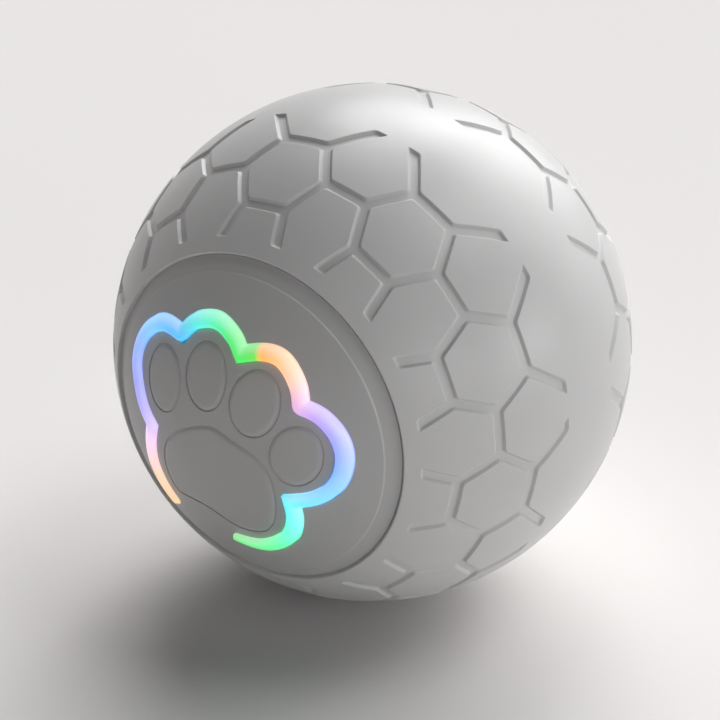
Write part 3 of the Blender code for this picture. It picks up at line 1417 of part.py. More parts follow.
def motor():
    """Motor can with its nose in the frame and its end bell."""
    low = FRAME_SEAT
    high = low + MOTOR_LENGTH
    end = high + MOTOR_END_THICK
    body = motor_outline()
    bell = motor_outline(MOTOR_END_STEP)
    bevelled = motor_outline(MOTOR_END_STEP + MOTOR_EDGE)
    nose = circle(MOTOR_NOSE_RADIUS, SHAFT_SIDES)
    hole = bore(MOTOR_SHAFT_RADIUS + RUN_GAP, SHAFT_SIDES)
    screw_holes = [bore(MOTOR_SCREW_SHANK + RUN_GAP, HOLE_SIDES, 0, z) for z in
                   (MOTOR_SCREW_PITCH, -MOTOR_SCREW_PITCH)]
    grip = low + MOTOR_SCREW_GRIP + SEAT_GAP
    can = layered("motor_can", "steel", [
        (-FRAME_HALF + SEAT_GAP, low, [nose, hole]),
        (low, grip, [body, hole] + screw_holes),
        (grip, low + MOTOR_SHAFT_DEPTH, [body, hole]),
        (low + MOTOR_SHAFT_DEPTH, high, [body])])
    can.location = (0, 0, MOTOR_Z)
    cap = layered("motor_end", "dark", [
        (high + SEAT_GAP, end - MOTOR_EDGE, [bell]),
        (end - MOTOR_EDGE, end, [bell], [bevelled])])
    cap.location = (0, 0, MOTOR_Z)
    for number, (x, z) in enumerate(motor_screw_places(), 1):
        screw("motor_screw_%d" % number, x, z,
              -FRAME_HALF + MOTOR_SCREW_HEAD_HEIGHT, low + MOTOR_SCREW_GRIP,
              MOTOR_SCREW_SHANK, MOTOR_SCREW_HEAD, MOTOR_SCREW_HEAD_HEIGHT)


def weight_outline(radius, inset=0):
    """Half disc below the shaft with a round hub."""
    hub = WEIGHT_HUB_RADIUS - inset
    reach = radius - inset
    points = [polar(reach, pi + pi * i / ARC_STEPS, 0, -inset) for i in range(ARC_STEPS + 1)]
    points += [polar(hub, pi * i / HUB_STEPS) for i in range(HUB_STEPS + 1)]
    return tuple(points)


def eccentric_weight():
    """Half disc of zinc on the shaft, clamped by a screw from above."""
    room = height_on(SHELL_INSIDE, WEIGHT_END)
    radius = min(room, BOSS_CIRCLE - BOSS_RADIUS) - WEIGHT_MARGIN
    body = weight_outline(radius)
    edge = weight_outline(radius, WEIGHT_EDGE)
    hub = circle(WEIGHT_HUB_RADIUS - 2 * WEIGHT_EDGE, SHAFT_SIDES)
    hole = bore(SHAFT_RADIUS + RUN_GAP, SHAFT_SIDES)
    weight = layered("eccentric_weight", "zinc", [
        (WEIGHT_END, WEIGHT_END + WEIGHT_EDGE, [edge, hole], [body, hole]),
        (WEIGHT_END + WEIGHT_EDGE, WEIGHT_LOW - WEIGHT_EDGE, [body, hole]),
        (WEIGHT_LOW - WEIGHT_EDGE, WEIGHT_LOW, [body, hole], [edge, hole]),
        (WEIGHT_LOW, WEIGHT_START, [hub, hole])])
    middle = (WEIGHT_END + WEIGHT_LOW) / 2
    cut = Skin()
    cut.column((bore(WEIGHT_SCREW_RADIUS + RUN_GAP, HOLE_SIDES), level(0),
                level(-WEIGHT_HUB_RADIUS - OVERRUN)))
    tool = guide("weight_cut", cut)
    tool.rotation_euler = (-pi / 2, 0, 0)
    tool.location = (0, middle, 0)
    combine(weight, tool, "DIFFERENCE")
    clamp = layered("weight_screw", "steel", [
        (-WEIGHT_HUB_RADIUS, -(SHAFT_RADIUS + RUN_GAP), [circle(WEIGHT_SCREW_RADIUS, HOLE_SIDES)])])
    clamp.rotation_euler = (-pi / 2, 0, 0)
    clamp.location = (0, middle, 0)


def battery():
    """Round cell along X, hugged by a cradle on the frame."""
    axis_y = FRAME_SEAT + CRADLE_WALL + RUN_GAP + CELL_RADIUS
    half = CELL_LENGTH / 2
    body_end = half - CELL_NUB
    profile = [(0, -half), (CELL_RADIUS - CELL_EDGE, -half), (CELL_RADIUS, -half + CELL_EDGE),
               (CELL_RADIUS, body_end - CELL_EDGE), (CELL_RADIUS - CELL_EDGE, body_end),
               (CELL_NUB_RADIUS, body_end), (CELL_NUB_RADIUS, half), (0, half)]
    cell = turned("battery_cell", "cell", profile, CELL_SIDES)
    cell.rotation_euler = (0, 0, -pi / 2)
    cell.location = (0, axis_y, CELL_Z)

    inner = (CELL_RADIUS + RUN_GAP) / cos(pi / CELL_SIDES)
    outer = inner + CRADLE_WALL
    foot = axis_y - FRAME_SEAT
    angles = [-pi / 2 + CRADLE_HUG * i / CRADLE_STEPS
              for i in range(-CRADLE_STEPS, CRADLE_STEPS + 1)]
    foot_angle = asin(CRADLE_FOOT / outer)
    outside = [angle for angle in reversed(angles) if angle > -pi / 2 + foot_angle]
    points = [polar(inner, angle) for angle in angles]
    points += [polar(outer, angle) for angle in outside]
    points += [(CRADLE_FOOT, -foot), (-CRADLE_FOOT, -foot)]
    points += [polar(outer, angle) for angle in reversed(angles) if angle < -pi / 2 - foot_angle]
    cradle = layered("battery_cradle", "frame", [
        (-CRADLE_LENGTH / 2, CRADLE_LENGTH / 2, [tuple(points)])])
    cradle.rotation_euler = (0, -pi / 2, -pi / 2)
    cradle.location = (0, axis_y, CELL_Z)


def build():
    """Make all pieces, from the outside in."""
    clear_scene()
    tread_cover()
    front_shell()
    rear_shell()
    shell_seal()
    shell_screws()
    paw_cap()
    paw_light_guide()
    led_board()
    lamps()
    cap_screws("paw_cap", -1)
    rear_cap()
    power_button()
    power_switch()
    main_board()
    motion_sensor()
    usb_socket()
    port_plug()
    cap_screws("rear_cap", 1)
    drive_frame()
    gear_cover()
    motor()
    motor_pinion()
    idler_gear()
    output_gear()
    drive_shaft()
    shaft_bushes()
    eccentric_weight()
    battery()


build()
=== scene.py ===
import json
from math import acos, asin, atan2, cos, pi, radians, sin, sqrt, tan

import bmesh
import bpy
import numpy as np
from mathutils import Matrix, Vector
from mathutils.geometry import delaunay_2d_cdt


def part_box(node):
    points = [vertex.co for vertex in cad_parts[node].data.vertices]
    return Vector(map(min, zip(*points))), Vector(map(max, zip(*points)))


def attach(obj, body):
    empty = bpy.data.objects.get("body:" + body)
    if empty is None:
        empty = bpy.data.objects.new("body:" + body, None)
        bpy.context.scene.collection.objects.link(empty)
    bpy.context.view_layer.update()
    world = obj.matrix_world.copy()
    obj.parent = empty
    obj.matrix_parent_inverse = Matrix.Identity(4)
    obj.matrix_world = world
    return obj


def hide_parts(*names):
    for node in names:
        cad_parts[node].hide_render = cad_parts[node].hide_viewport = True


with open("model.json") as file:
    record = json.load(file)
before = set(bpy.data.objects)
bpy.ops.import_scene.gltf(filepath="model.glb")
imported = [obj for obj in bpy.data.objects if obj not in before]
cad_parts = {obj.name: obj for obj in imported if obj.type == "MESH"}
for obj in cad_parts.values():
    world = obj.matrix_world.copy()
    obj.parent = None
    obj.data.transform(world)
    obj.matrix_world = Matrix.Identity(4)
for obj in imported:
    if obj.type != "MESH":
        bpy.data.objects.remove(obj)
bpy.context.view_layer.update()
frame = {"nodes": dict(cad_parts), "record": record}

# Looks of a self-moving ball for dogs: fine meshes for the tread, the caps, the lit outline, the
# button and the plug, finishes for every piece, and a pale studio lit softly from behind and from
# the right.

MM = 0.001
MERGE = 0.002 * MM
SEAT_GAP = 0.3 * MM

# Steps of rounded corners, the most of a side that a corner takes up, and the clearance of a
# grid's points from the sides as a share of its spacing
SOFT_STEPS = 3
NEARLY_HALF = 0.45
GRID_CLEARANCE = 0.55

# Ball and tread, as in the solids but for the grooves, which are shallower here
BALL_RADIUS = 42.5 * MM
COVER_INSIDE = 39.3 * MM
OPENING_RADIUS = 28.1 * MM
OPENING_ANGLE = asin(OPENING_RADIUS / BALL_RADIUS)
TREAD_CELLS = 10
HALF_CELL = pi / TREAD_CELLS
TREAD_TURN = radians(41.2)
GROOVE_HALF = 0.85 * MM
# Groove from the tread down: distance from its middle line, and depth
GROOVE_LEVELS = (
    (1.14 * MM, 0), (1.02 * MM, 0), (0.99 * MM, 0.01 * MM), (0.96 * MM, 0.045 * MM),
    (0.69 * MM, 0.43 * MM), (0.65 * MM, 0.49 * MM), (0.60 * MM, 0.52 * MM),
    (0.54 * MM, 0.53 * MM),
)
# Corners of the groove net, each as a share of half a cell's width and of the way from the
# opening's rim to the equator
BELT_END = (0.247, 0.821)
UPPER = (0.678, 0.627)
MIDDLE = (0.328, 0.442)
LOWER = (0.633, 0.249)
RIM_END = (0.439, 0.080)
# Round of the opening's rim, and the fineness of the cover's mesh
EDGE_ROUND = 0.20 * MM
EDGE_ROUND_STEPS = 4
EDGE_MARGIN = 0.16 * MM
CORNER_REACH = 0.45 * MM
EDGE_STEP = 1.0 * MM
COVER_COLUMNS = 12
COVER_ROWS = 26
INNER_ROWS = 10

# Caps, as in the solids but for a flatter ring and a sharper step at the dome
CAP_WALL = 2.0 * MM
CAP_SEAM = 0.08 * MM
RING_DROP = 0.43 * MM
RING_SINK = 0.35 * MM
RING_BEVEL = 0.15 * MM
DOME_STEP = 0.06 * MM
RING_WIDTH = 2.6 * MM
DOME_EDGE_RADIUS = OPENING_RADIUS - RING_WIDTH
DOME_EDGE_WIDTH = 0.8 * MM
DOME_EDGE_SINK = 0.5 * MM
DOME_TOP_SINK = 0.7 * MM
CAP_SOFTNESS = 0.07 * MM
DOME_EDGE_HEIGHT = sqrt(BALL_RADIUS ** 2 - DOME_EDGE_RADIUS ** 2) - DOME_EDGE_SINK
DOME_TOP = BALL_RADIUS - DOME_TOP_SINK
DOME_RISE = DOME_TOP - DOME_EDGE_HEIGHT
DOME_RADIUS = (DOME_EDGE_RADIUS ** 2 + DOME_RISE ** 2) / (2 * DOME_RISE)
DOME_CENTRE = DOME_TOP - DOME_RADIUS
CAP_FOOT = COVER_INSIDE * cos(OPENING_ANGLE) + SEAT_GAP
CAP_HOLLOW_RADIUS = DOME_EDGE_RADIUS - CAP_WALL
CAP_SIDES = 180
DOME_GRID = 1.5 * MM
UNDER_GRID = 4.0 * MM
BOARD_RISE = 1.9 * MM
BOARD_TOP = CAP_FOOT + BOARD_RISE

# Bosses under the caps
CAP_SCREW_CIRCLE = 12.0 * MM
BOSS_RADIUS = 3.1 * MM
SPIGOT_RADIUS = 2.1 * MM
SCREW_HOLE_RADIUS = 1.0 * MM
SCREW_HOLE_DEPTH = 5.3 * MM
BOSS_SIDES = 24

# Paw and light band: shares of the paw's reach, x to the right and z up. The outlines of the toes
# and the pad are the solids', and two lobes of the band bulge a little further.
PAW_REACH = 22.0 * MM
# Height of the solids' toes and pad
RELIEF_HEIGHT = 0.5 * MM
# Middle of each toe, half its length and width, and the angle that it points to
TOES = (
    (-0.577, 0.295, 0.255, 0.180, 86),
    (-0.164, 0.455, 0.250, 0.186, 90),
    (0.264, 0.368, 0.255, 0.198, 78),
    (0.591, 0.032, 0.245, 0.192, 74),
)
PAD = (
    (-0.56, -0.22), (-0.37, -0.02), (-0.10, 0.10), (0.10, 0.05), (0.33, -0.06), (0.42, -0.26),
    (0.40, -0.52), (0.28, -0.70), (0.06, -0.745), (-0.18, -0.66), (-0.34, -0.64),
    (-0.53, -0.635), (-0.61, -0.45),
)
LOBES = (
    ((-0.577, -0.809), (-0.700, -0.664), (-0.768, -0.477), (-0.755, -0.291), (-0.709, -0.127)),
    ((-0.709, -0.127), (-0.832, 0.018), (-0.923, 0.295), (-0.855, 0.520), (-0.664, 0.668),
     (-0.441, 0.673)),
    ((-0.441, 0.673), (-0.332, 0.795), (-0.145, 0.853), (0.017, 0.794), (0.114, 0.691)),
    ((0.114, 0.691), (0.309, 0.741), (0.450, 0.705), (0.568, 0.568), (0.614, 0.418)),
    ((0.614, 0.418), (0.764, 0.359), (0.882, 0.227), (0.927, 0.055), (0.880, -0.137),
     (0.745, -0.278), (0.545, -0.350)),
    ((0.545, -0.350), (0.550, -0.500), (0.491, -0.664), (0.359, -0.795), (0.195, -0.868),
     (-0.041, -0.864)),
)
# Band: half its width, its height over the dome and its depth in the channel
BAND_HALF = 1.22 * MM
BAND_RISE = 1.08 * MM
BAND_SINK = 1.2 * MM
BAND_PLAY = 0.12 * MM
BAND_SHOULDER = 0.12 * MM
BAND_TIP_SHARE = 0.5
BAND_TAPER = 9.0 * MM
BAND_NOSE = 1.0 * MM
NOSE_START = 0.02
EASE_REACH = 1.2 * BAND_HALF
JOINT_REACH = 2.5 * BAND_HALF
# Direction across the paw that the paler flank of the band faces; the paling is a painted
# highlight, as if light fell on that flank from above
PAINTED_HIGHLIGHT_SIDE = Vector((0.5, 0.87))
# Rim of the band's channel: how far out, and its height on the dome
CHANNEL_RIM = ((0.12 * MM, 0), (0.04 * MM, -0.03 * MM), (0, -0.12 * MM))
BAND_STEPS = 9
BAND_SIDES = 16
PIN_RADIUS = 1.0 * MM
PIN_SIDES = 20
LAMPS = 8
LAMP_HEIGHT = 0.9 * MM
PIN_CLEARANCE = 0.6 * MM
TOE_SIDES = 72
PAD_STEPS = 8
# Relief profile: how far in from the outline, and the share of the full height; a fine groove
# with a steep outer side runs round the foot
RELIEF = (
    (-0.22 * MM, 0), (-0.15 * MM, 0), (-0.12 * MM, -0.08), (-0.06 * MM, -0.44), (0, -0.50),
    (0.10 * MM, -0.42), (0.40 * MM, 0.16), (0.55 * MM, 0.30), (0.80 * MM, 0.38),
    (1.20 * MM, 0.42),
)

# Button: the crown's edge is given as how far in and how deep
CAP_HIGHEST = DOME_TOP + RELIEF_HEIGHT
BUTTON_RADIUS = 6.0 * MM
BUTTON_PLAY = 0.3 * MM
STEM_RADIUS = 1.6 * MM
FLANGE_RADIUS = 7.3 * MM
FLANGE_THICK = 0.9 * MM
CROWN_EDGE = ((0, 0.25 * MM), (0.55 * MM, 0), (1.1 * MM, 0.12 * MM))
DISH_RADIUS = 2.9 * MM
DISH_DEPTH = 0.5 * MM
BUTTON_SOFTNESS = 0.2 * MM
BUTTON_SIDES = CAP_SIDES // 2
BUTTON_SHARP_ANGLE = 40
# Raised ring and bar in the dish
MARK_RISE = 0.12 * MM
RING_RADII = (2.05 * MM, 1.6 * MM)
RING_GAP = radians(38)
RING_STEPS = 40
BAR_LENGTH = 1.5 * MM
BAR_WIDTH = 0.45 * MM
BAR_Z = 1.75 * MM
BAR_STEPS = 8
# Edge of the button's well: how far out and how deep
WELL_EDGE = (
    (1.1 * MM, 0), (0.95 * MM, 0.02 * MM), (0.2 * MM, 0.42 * MM), (0.04 * MM, 0.5 * MM),
    (0, 0.65 * MM),
)

# Charging port and its plug
PORT_Z = -15.0 * MM
SOCKET_WIDTH = 8.9 * MM
SOCKET_DEPTH = 3.2 * MM
SOCKET_TOP = BOARD_TOP + 4.9 * MM
PORT_PLAY = 0.35 * MM
PLUG_MARGIN = 2.0 * MM
PLUG_RECESS = 1.5 * MM
PLUG_PLAY = 0.25 * MM
PLUG_REACH = 3.2 * MM
SKIRT_INSET = 0.4 * MM
TIP_INSET = 0.5 * MM
TIP_BEVEL = 0.3 * MM
POCKET_INSET = 0.8 * MM
# Edge of the plug's recess: how far out and how deep
RECESS_EDGE = ((0.3 * MM, 0), (0.12 * MM, 0.03 * MM), (0.02 * MM, 0.14 * MM), (0, 0.3 * MM))
# Plug's head from its side over the lip to the finger dish: how far in and how deep
PLUG_HEAD = (
    (0, PLUG_RECESS - PLUG_PLAY), (0, 0.25 * MM), (0.05 * MM, 0.1 * MM),
    (0.16 * MM, 0.02 * MM), (0.35 * MM, 0), (0.9 * MM, 0), (1.05 * MM, 0.03 * MM),
    (1.2 * MM, 0.14 * MM), (1.4 * MM, 0.18 * MM),
)


# Flat outlines

def polar(radius, angle, x=0, z=0):
    """Point at a radius and an angle round a centre."""
    return (x + radius * cos(angle), z + radius * sin(angle))


def circle(radius, sides, x=0, z=0):
    """Corners of a circle."""
    return [polar(radius, 2 * pi * i / sides, x, z) for i in range(sides)]


def normal_of(along):
    """Direction to the left of a flat direction."""
    return Vector((-along.y, along.x))


def toward(start, end, reach):
    """Point on the way from one point to another, at most nearly half of the way."""
    run = Vector(end) - Vector(start)
    return Vector(start) + run * min(reach / max(run.length, MERGE), NEARLY_HALF)


def soften(points, reach):
    """Line of points with each corner between its ends drawn as a short curve."""
    soft = [tuple(points[0])]
    for before, corner, after in zip(points, points[1:], points[2:]):
        first = toward(corner, before, reach)
        second = toward(corner, after, reach)
        for k in range(SOFT_STEPS + 1):
            t = k / SOFT_STEPS
            soft.append(tuple(first * (1 - t) ** 2 + Vector(corner) * (2 * t * (1 - t))
                              + second * t * t))
    soft.append(tuple(points[-1]))
    return soft


def spline(points, steps, closed=False):
    """Smooth curve through points, with steps to each stretch.

    An open curve's ends carry on with the bend of their first and last stretches.
    """
    count = len(points)
    curve = []
    for i in range(count if closed else count - 1):
        if closed:
            a, b, c, d = (Vector(points[(i + k) % count]) for k in (-1, 0, 1, 2))
        else:
            b, c = Vector(points[i]), Vector(points[i + 1])
            a = Vector(points[i - 1]) if i else b * 2.5 - c * 2 + Vector(points[2]) / 2
            d = (Vector(points[i + 2]) if i + 2 < count
                 else c * 2.5 - b * 2 + Vector(points[i - 1]) / 2)
        for k in range(steps):
            t = k / steps
            curve.append(tuple(
                (b * 2 + (c - a) * t + (a * 2 - b * 5 + c * 4 - d) * t * t
                 + (b * 3 - a - c * 3 + d) * t ** 3) / 2))
    if not closed:
        curve.append(tuple(points[-1]))
    return curve


def drawn_in(outline, depth):
    """Closed clockwise outline moved to its inside by a depth."""
    points = [Vector(point) for point in outline]
    moved = []
    for i, point in enumerate(points):
        along = (points[(i + 1) % len(points)] - points[i - 1]).normalized()
        moved.append(tuple(point - normal_of(along) * depth))
    return moved


def rounded_slot(width, height, x=0, z=0, steps=16):
    """Long hole with half-round ends."""
    radius = height / 2
    reach = width / 2 - radius
    right = [polar(radius, -pi / 2 + pi * i / steps, x + reach, z) for i in range(steps + 1)]
    left = [polar(radius, pi / 2 + pi * i / steps, x - reach, z) for i in range(steps + 1)]
    return right + left


def within(spots, outlines, gap=0):
    """Mask of the spots in the area of the outlines that keep a gap to their sides."""
    starts = np.concatenate([np.array(outline) for outline in outlines])
    ends = np.concatenate([np.roll(np.array(outline), -1, axis=0) for outline in outlines])
    run = ends - starts
    spots = np.array(spots)
    u, v = spots[:, :1], spots[:, 1:]
    rise = np.where(run[:, 1] == 0, MERGE, run[:, 1])
    crosses = ((starts[:, 1] > v) != (ends[:, 1] > v)) & (
        u < starts[:, 0] + (v - starts[:, 1]) * run[:, 0] / rise)
    inner = crosses.sum(1) % 2 == 1
    if gap:
        away = spots[:, None] - starts
        share = (away * run).sum(2) / np.maximum((run * run).sum(1), MERGE ** 2)
        away -= run * np.clip(share, 0, 1)[..., None]
        inner &= (away ** 2).sum(2).min(1) > gap ** 2
    return inner


def grid_points(outlines, spacing):
    """Points of a triangular grid in the area of the outlines."""
    corners = np.concatenate([np.array(outline) for outline in outlines])
    low, high = corners.min(0), corners.max(0)
    row_step = spacing * sqrt(3) / 2
    points = []
    for row in range(int((high[1] - low[1]) / row_step) + 1):
        for column in range(int((high[0] - low[0]) / spacing) + 2):
            points.append((low[0] + (column + row % 2 / 2) * spacing,
                           low[1] + (row + 0.5) * row_step))
    if not points:
        return []
    mask = within(points, outlines, spacing * GRID_CLEARANCE)
    return [point for point, kept in zip(points, mask) if kept]


# Meshes

def level(height):
    """Flat surface across the Y axis."""
    return lambda x, z: Vector((x, height, z))


def dome(side, offset=0):
    """Domed face of a cap, raised or sunk by an offset."""
    def surface(x, z):
        height = DOME_CENTRE + sqrt(DOME_RADIUS ** 2 - x * x - z * z) + offset
        return Vector((x, side * height, z))
    return surface


def dome_inside(side):
    """Inner face of a cap."""
    def surface(x, z):
        height = DOME_CENTRE + sqrt((DOME_RADIUS - CAP_WALL) ** 2 - x * x - z * z)
        return Vector((x, side * height, z))
    return surface


class Skin:
    """Surface of a piece: loops of corners, walls between them and filled areas."""

    def __init__(self):
        self.mesh = bmesh.new()
        self.flat = {}

    def loop(self, outline, surface):
        """Corners of an outline, put in space by a surface."""
        corners = []
        for u, v in outline:
            corner = self.mesh.verts.new(surface(u, v))
            self.flat[corner] = (u, v)
            corners.append(corner)
        return corners

    def face(self, *corners):
        """Face of the corners that differ, if three or more do."""
        own = list(dict.fromkeys(corners))
        if len(own) > 2:
            self.mesh.faces.new(own)

    def wall(self, low, high, closed=True):
        """Faces between two loops with as many corners."""
        for i in range(len(low) if closed else len(low) - 1):
            j = (i + 1) % len(low)
            self.face(low[i], low[j], high[j], high[i])

    def walls(self, loops, closed=True):
        """Faces between each loop and the next; returns the last loop."""
        for low, high in zip(loops, loops[1:]):
            self.wall(low, high, closed)
        return loops[-1]

    def fill(self, loops, surface, spacing=0, scale=BALL_RADIUS):
        """Triangles over the area between loops, with inner points where it bends."""
        outlines = [[self.flat[corner] for corner in loop] for loop in loops]
        corners = [corner for loop in loops for corner in loop]
        sides = []
        for loop in loops:
            first = len(sides)
            sides += [(first + i, first + (i + 1) % len(loop)) for i in range(len(loop))]
        if spacing:
            corners += self.loop(grid_points(outlines, spacing), surface)
        flat = [Vector(self.flat[corner]) / scale for corner in corners]
        found = delaunay_2d_cdt(flat, sides, [], 0, MERGE / BALL_RADIUS)
        faces = [[corners[found[3][index][0]] for index in face] for face in found[2]]
        middles = [[sum(self.flat[corner][axis] for corner in face) / 3 for axis in (0, 1)]
                   for face in faces]
        for face, kept in zip(faces, within(middles, outlines)):
            if kept:
                self.face(*face)

    def finish(self, name, body, node, slot, finish, sharp=60):
        """Turn the surface into a piece that stands for CAD nodes."""
        bmesh.ops.recalc_face_normals(self.mesh, faces=self.mesh.faces)
        if self.mesh.calc_volume(signed=True) < 0:
            bmesh.ops.reverse_faces(self.mesh, faces=self.mesh.faces)
        data = bpy.data.meshes.new(name)
        self.mesh.to_mesh(data)
        self.mesh.free()
        data.materials.append(finish)
        data.shade_smooth()
        data.set_sharp_from_angle(angle=radians(sharp))
        piece = bpy.data.objects.new(name, data)
        bpy.context.scene.collection.objects.link(piece)
        normals = piece.modifiers.new("normals", "WEIGHTED_NORMAL")
        normals.keep_sharp = True
        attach(piece, body)
        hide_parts(node)
        return piece


def turned(skin, profile, sides, side=1):
    """Walls of a profile of radius and height turned round Y: returns its loops."""
    rings = [skin.loop(circle(radius, sides), level(side * height)) for radius, height in profile]
    skin.walls(rings)
    return rings


# Tread cover

def direction(longitude, colatitude):
    """Unit vector, with colatitude from the front pole."""
    ring = sin(colatitude)
    return Vector((ring * cos(longitude), -cos(colatitude), ring * sin(longitude)))


def on_ball(radius):
    """Surface of a sphere over longitude and colatitude."""
    return lambda longitude, colatitude: direction(longitude, colatitude) * radius


def angles_of(point):
    """Longitude and colatitude of a direction."""
    unit = point.normalized()
    return (atan2(unit.z, unit.x), acos(max(-1, min(1, -unit.y))))


def net_corner(shares):
    """Longitude and colatitude of a corner of the groove net."""
    across, down = shares
    return (across * HALF_CELL, OPENING_ANGLE + down * (pi / 2 - OPENING_ANGLE))


def meet(first, second, near):
    """Where two circles of the unit sphere cross, on the side of a direction."""
    first_axis, first_reach = first
    second_axis, second_reach = second
    lean = first_axis.dot(second_axis)
    base = (first_axis * (first_reach - second_reach * lean)
            + second_axis * (second_reach - first_reach * lean)) / (1 - lean * lean)
    across = first_axis.cross(second_axis)
    rise = across * (sqrt(1 - base.length_squared) / across.length)
    return max(base + rise, base - rise, key=near.dot)


def groove_edge(path, start, end, reach, inset):
    """Corners of the groove edge to the left of a path.

    A corner that comes twice is a blind end, cut along its parallel and drawn back by inset.
    The edge starts and ends on the meridians start and end.
    """
    nodes = [direction(*corner) for corner in path]
    circles = [(direction(start + pi / 2, pi / 2), 0)]
    for here in range(len(path) - 1):
        if path[here] == path[here + 1]:
            circles.append((direction(0, 0), cos(path[here][1] + inset)))
        else:
            circles.append((nodes[here + 1].cross(nodes[here]).normalized(), sin(reach)))
    circles.append((direction(end + pi / 2, pi / 2), 0))
    near = [nodes[1]] + nodes[1:-1] + [nodes[-2]]
    return [meet(first, second, side) for first, second, side in zip(circles, circles[1:], near)]


def net_edges(reach, inset):
    """The three groove edges of half a cell: to the belt, round the cell and to the rim."""
    belt_end, upper, middle, lower, rim_end = (
        net_corner(shares) for shares in (BELT_END, UPPER, MIDDLE, LOWER, RIM_END))
    over_middle = (-middle[0], middle[1])
    over_upper = (2 * HALF_CELL - upper[0], upper[1])
    over_lower = (2 * HALF_CELL - lower[0], lower[1])
    return (
        groove_edge([over_middle, middle, upper, belt_end, belt_end, upper, over_upper],
                    0, HALF_CELL, reach, -inset),
        groove_edge([over_upper, upper, middle, lower, over_lower],
                    HALF_CELL, HALF_CELL, reach, 0),
        groove_edge([over_lower, lower, rim_end, rim_end, lower, middle, over_middle],
                    HALF_CELL, 0, reach, inset),
    )


def stepped(corners, counts):
    """Groove edge with rounded corners, each stretch in a given count of steps."""
    soft = [Vector(point) for point in soften(corners, CORNER_REACH / BALL_RADIUS)]
    bend = SOFT_STEPS + 1
    points = []
    for i, count in enumerate(counts):
        if i:
            points += soft[bend * (i - 1) + 1:bend * i]
        first, last = soft[bend * i], soft[bend * i + 1]
        points += [first.lerp(last, k / count) for k in range(count)]
    points.append(soft[-1])
    return [angles_of(point) for point in points]


def half_cell():
    """Skin of half a tread cell: tread, grooves, rim of the opening and inside."""
    skin = Skin()
    top = on_ball(BALL_RADIUS)
    outer = net_edges(GROOVE_HALF / BALL_RADIUS, 0)
    counts = [[max(1, round((b - a).length * BALL_RADIUS / EDGE_STEP))
               for a, b in zip(edge, edge[1:])] for edge in outer]
    levels = []
    for reach, depth in GROOVE_LEVELS:
        inset = (GROOVE_HALF - reach) / BALL_RADIUS
        edges = net_edges(reach / BALL_RADIUS, inset)
        levels.append([skin.loop(stepped(edge, count), on_ball(BALL_RADIUS - depth))
                       for edge, count in zip(edges, counts)])
    for high, low in zip(levels, levels[1:]):
        for upper_edge, lower_edge in zip(high, low):
            skin.wall(lower_edge, upper_edge, closed=False)
    floor = levels[-1]
    spacing = HALF_CELL / COVER_COLUMNS
    skin.fill([floor[0] + floor[1] + floor[2]], on_ball(BALL_RADIUS - GROOVE_LEVELS[-1][1]),
              spacing, scale=1)

    row_step = (pi / 2 - OPENING_ANGLE) / COVER_ROWS
    columns = [i * spacing for i in range(COVER_COLUMNS + 1)]
    belt, cell, rim = levels[0]

    def meridian(longitude, first, last):
        """Corners on a meridian between two colatitudes, without the ends."""
        count = max(1, round(abs(last - first) / row_step))
        places = [(longitude, first + (last - first) * i / count) for i in range(1, count)]
        return skin.loop(places, top)

    def colatitude_of(corner):
        """Angle of a corner from the pole."""
        return skin.flat[corner][1]

    opening_start = OPENING_ANGLE + (EDGE_ROUND + EDGE_MARGIN) / BALL_RADIUS
    equator = skin.loop([(u, pi / 2) for u in reversed(columns)], top)
    right = meridian(HALF_CELL, colatitude_of(belt[-1]), pi / 2)
    left = meridian(0, pi / 2, colatitude_of(belt[0]))
    skin.fill([belt + right + equator + left], top, spacing, scale=1)
    middle = meridian(HALF_CELL, colatitude_of(cell[-1]), colatitude_of(cell[0]))
    skin.fill([cell + middle], top, spacing, scale=1)
    opening = skin.loop([(u, opening_start) for u in columns], top)
    left = meridian(0, colatitude_of(rim[-1]), opening_start)
    right = meridian(HALF_CELL, opening_start, colatitude_of(rim[0]))
    skin.fill([rim + left + opening + right], top, spacing, scale=1)

    rows = [opening]
    for k in range(EDGE_ROUND_STEPS + 1):
        turn = pi / 2 * k / EDGE_ROUND_STEPS
        angle = OPENING_ANGLE + EDGE_ROUND * (1 - sin(turn)) / BALL_RADIUS
        radius = BALL_RADIUS - EDGE_ROUND * (1 - cos(turn))
        rows.append(skin.loop([(u, angle) for u in columns], on_ball(radius)))
    inside = on_ball(COVER_INSIDE)
    for k in range(INNER_ROWS + 1):
        angle = OPENING_ANGLE + (pi / 2 - OPENING_ANGLE) * k / INNER_ROWS
        rows.append(skin.loop([(u, angle) for u in columns], inside))
    skin.walls(rows, closed=False)
    return skin


def tread(finish):
    """Soft cover with two bands of hexagon grooves."""
    half = half_cell()
    data = bpy.data.meshes.new("half_cell")
    half.mesh.to_mesh(data)
    half.mesh.free()
    skin = Skin()
    for cell in range(TREAD_CELLS):
        turn = Matrix.Rotation(-(TREAD_TURN + 2 * HALF_CELL * cell), 4, "Y")
        for across in (1, -1):
            for end in (1, -1):
                first = len(skin.mesh.verts)
                skin.mesh.from_mesh(data)
                skin.mesh.verts.ensure_lookup_table()
                bmesh.ops.transform(skin.mesh, verts=skin.mesh.verts[first:],
                                    matrix=turn @ Matrix.Diagonal((1, end, across, 1)))
    bpy.data.meshes.remove(data)
    bmesh.ops.remove_doubles(skin.mesh, verts=skin.mesh.verts, dist=MERGE)
    skin.finish("hexagon_tread", "ball", "tread_cover", "cover", finish)


# Caps

def cap_screw_places():
    """Centres of the cap screws."""
    return [polar(CAP_SCREW_CIRCLE, pi / 2 + 2 * pi * i / 3) for i in range(3)]


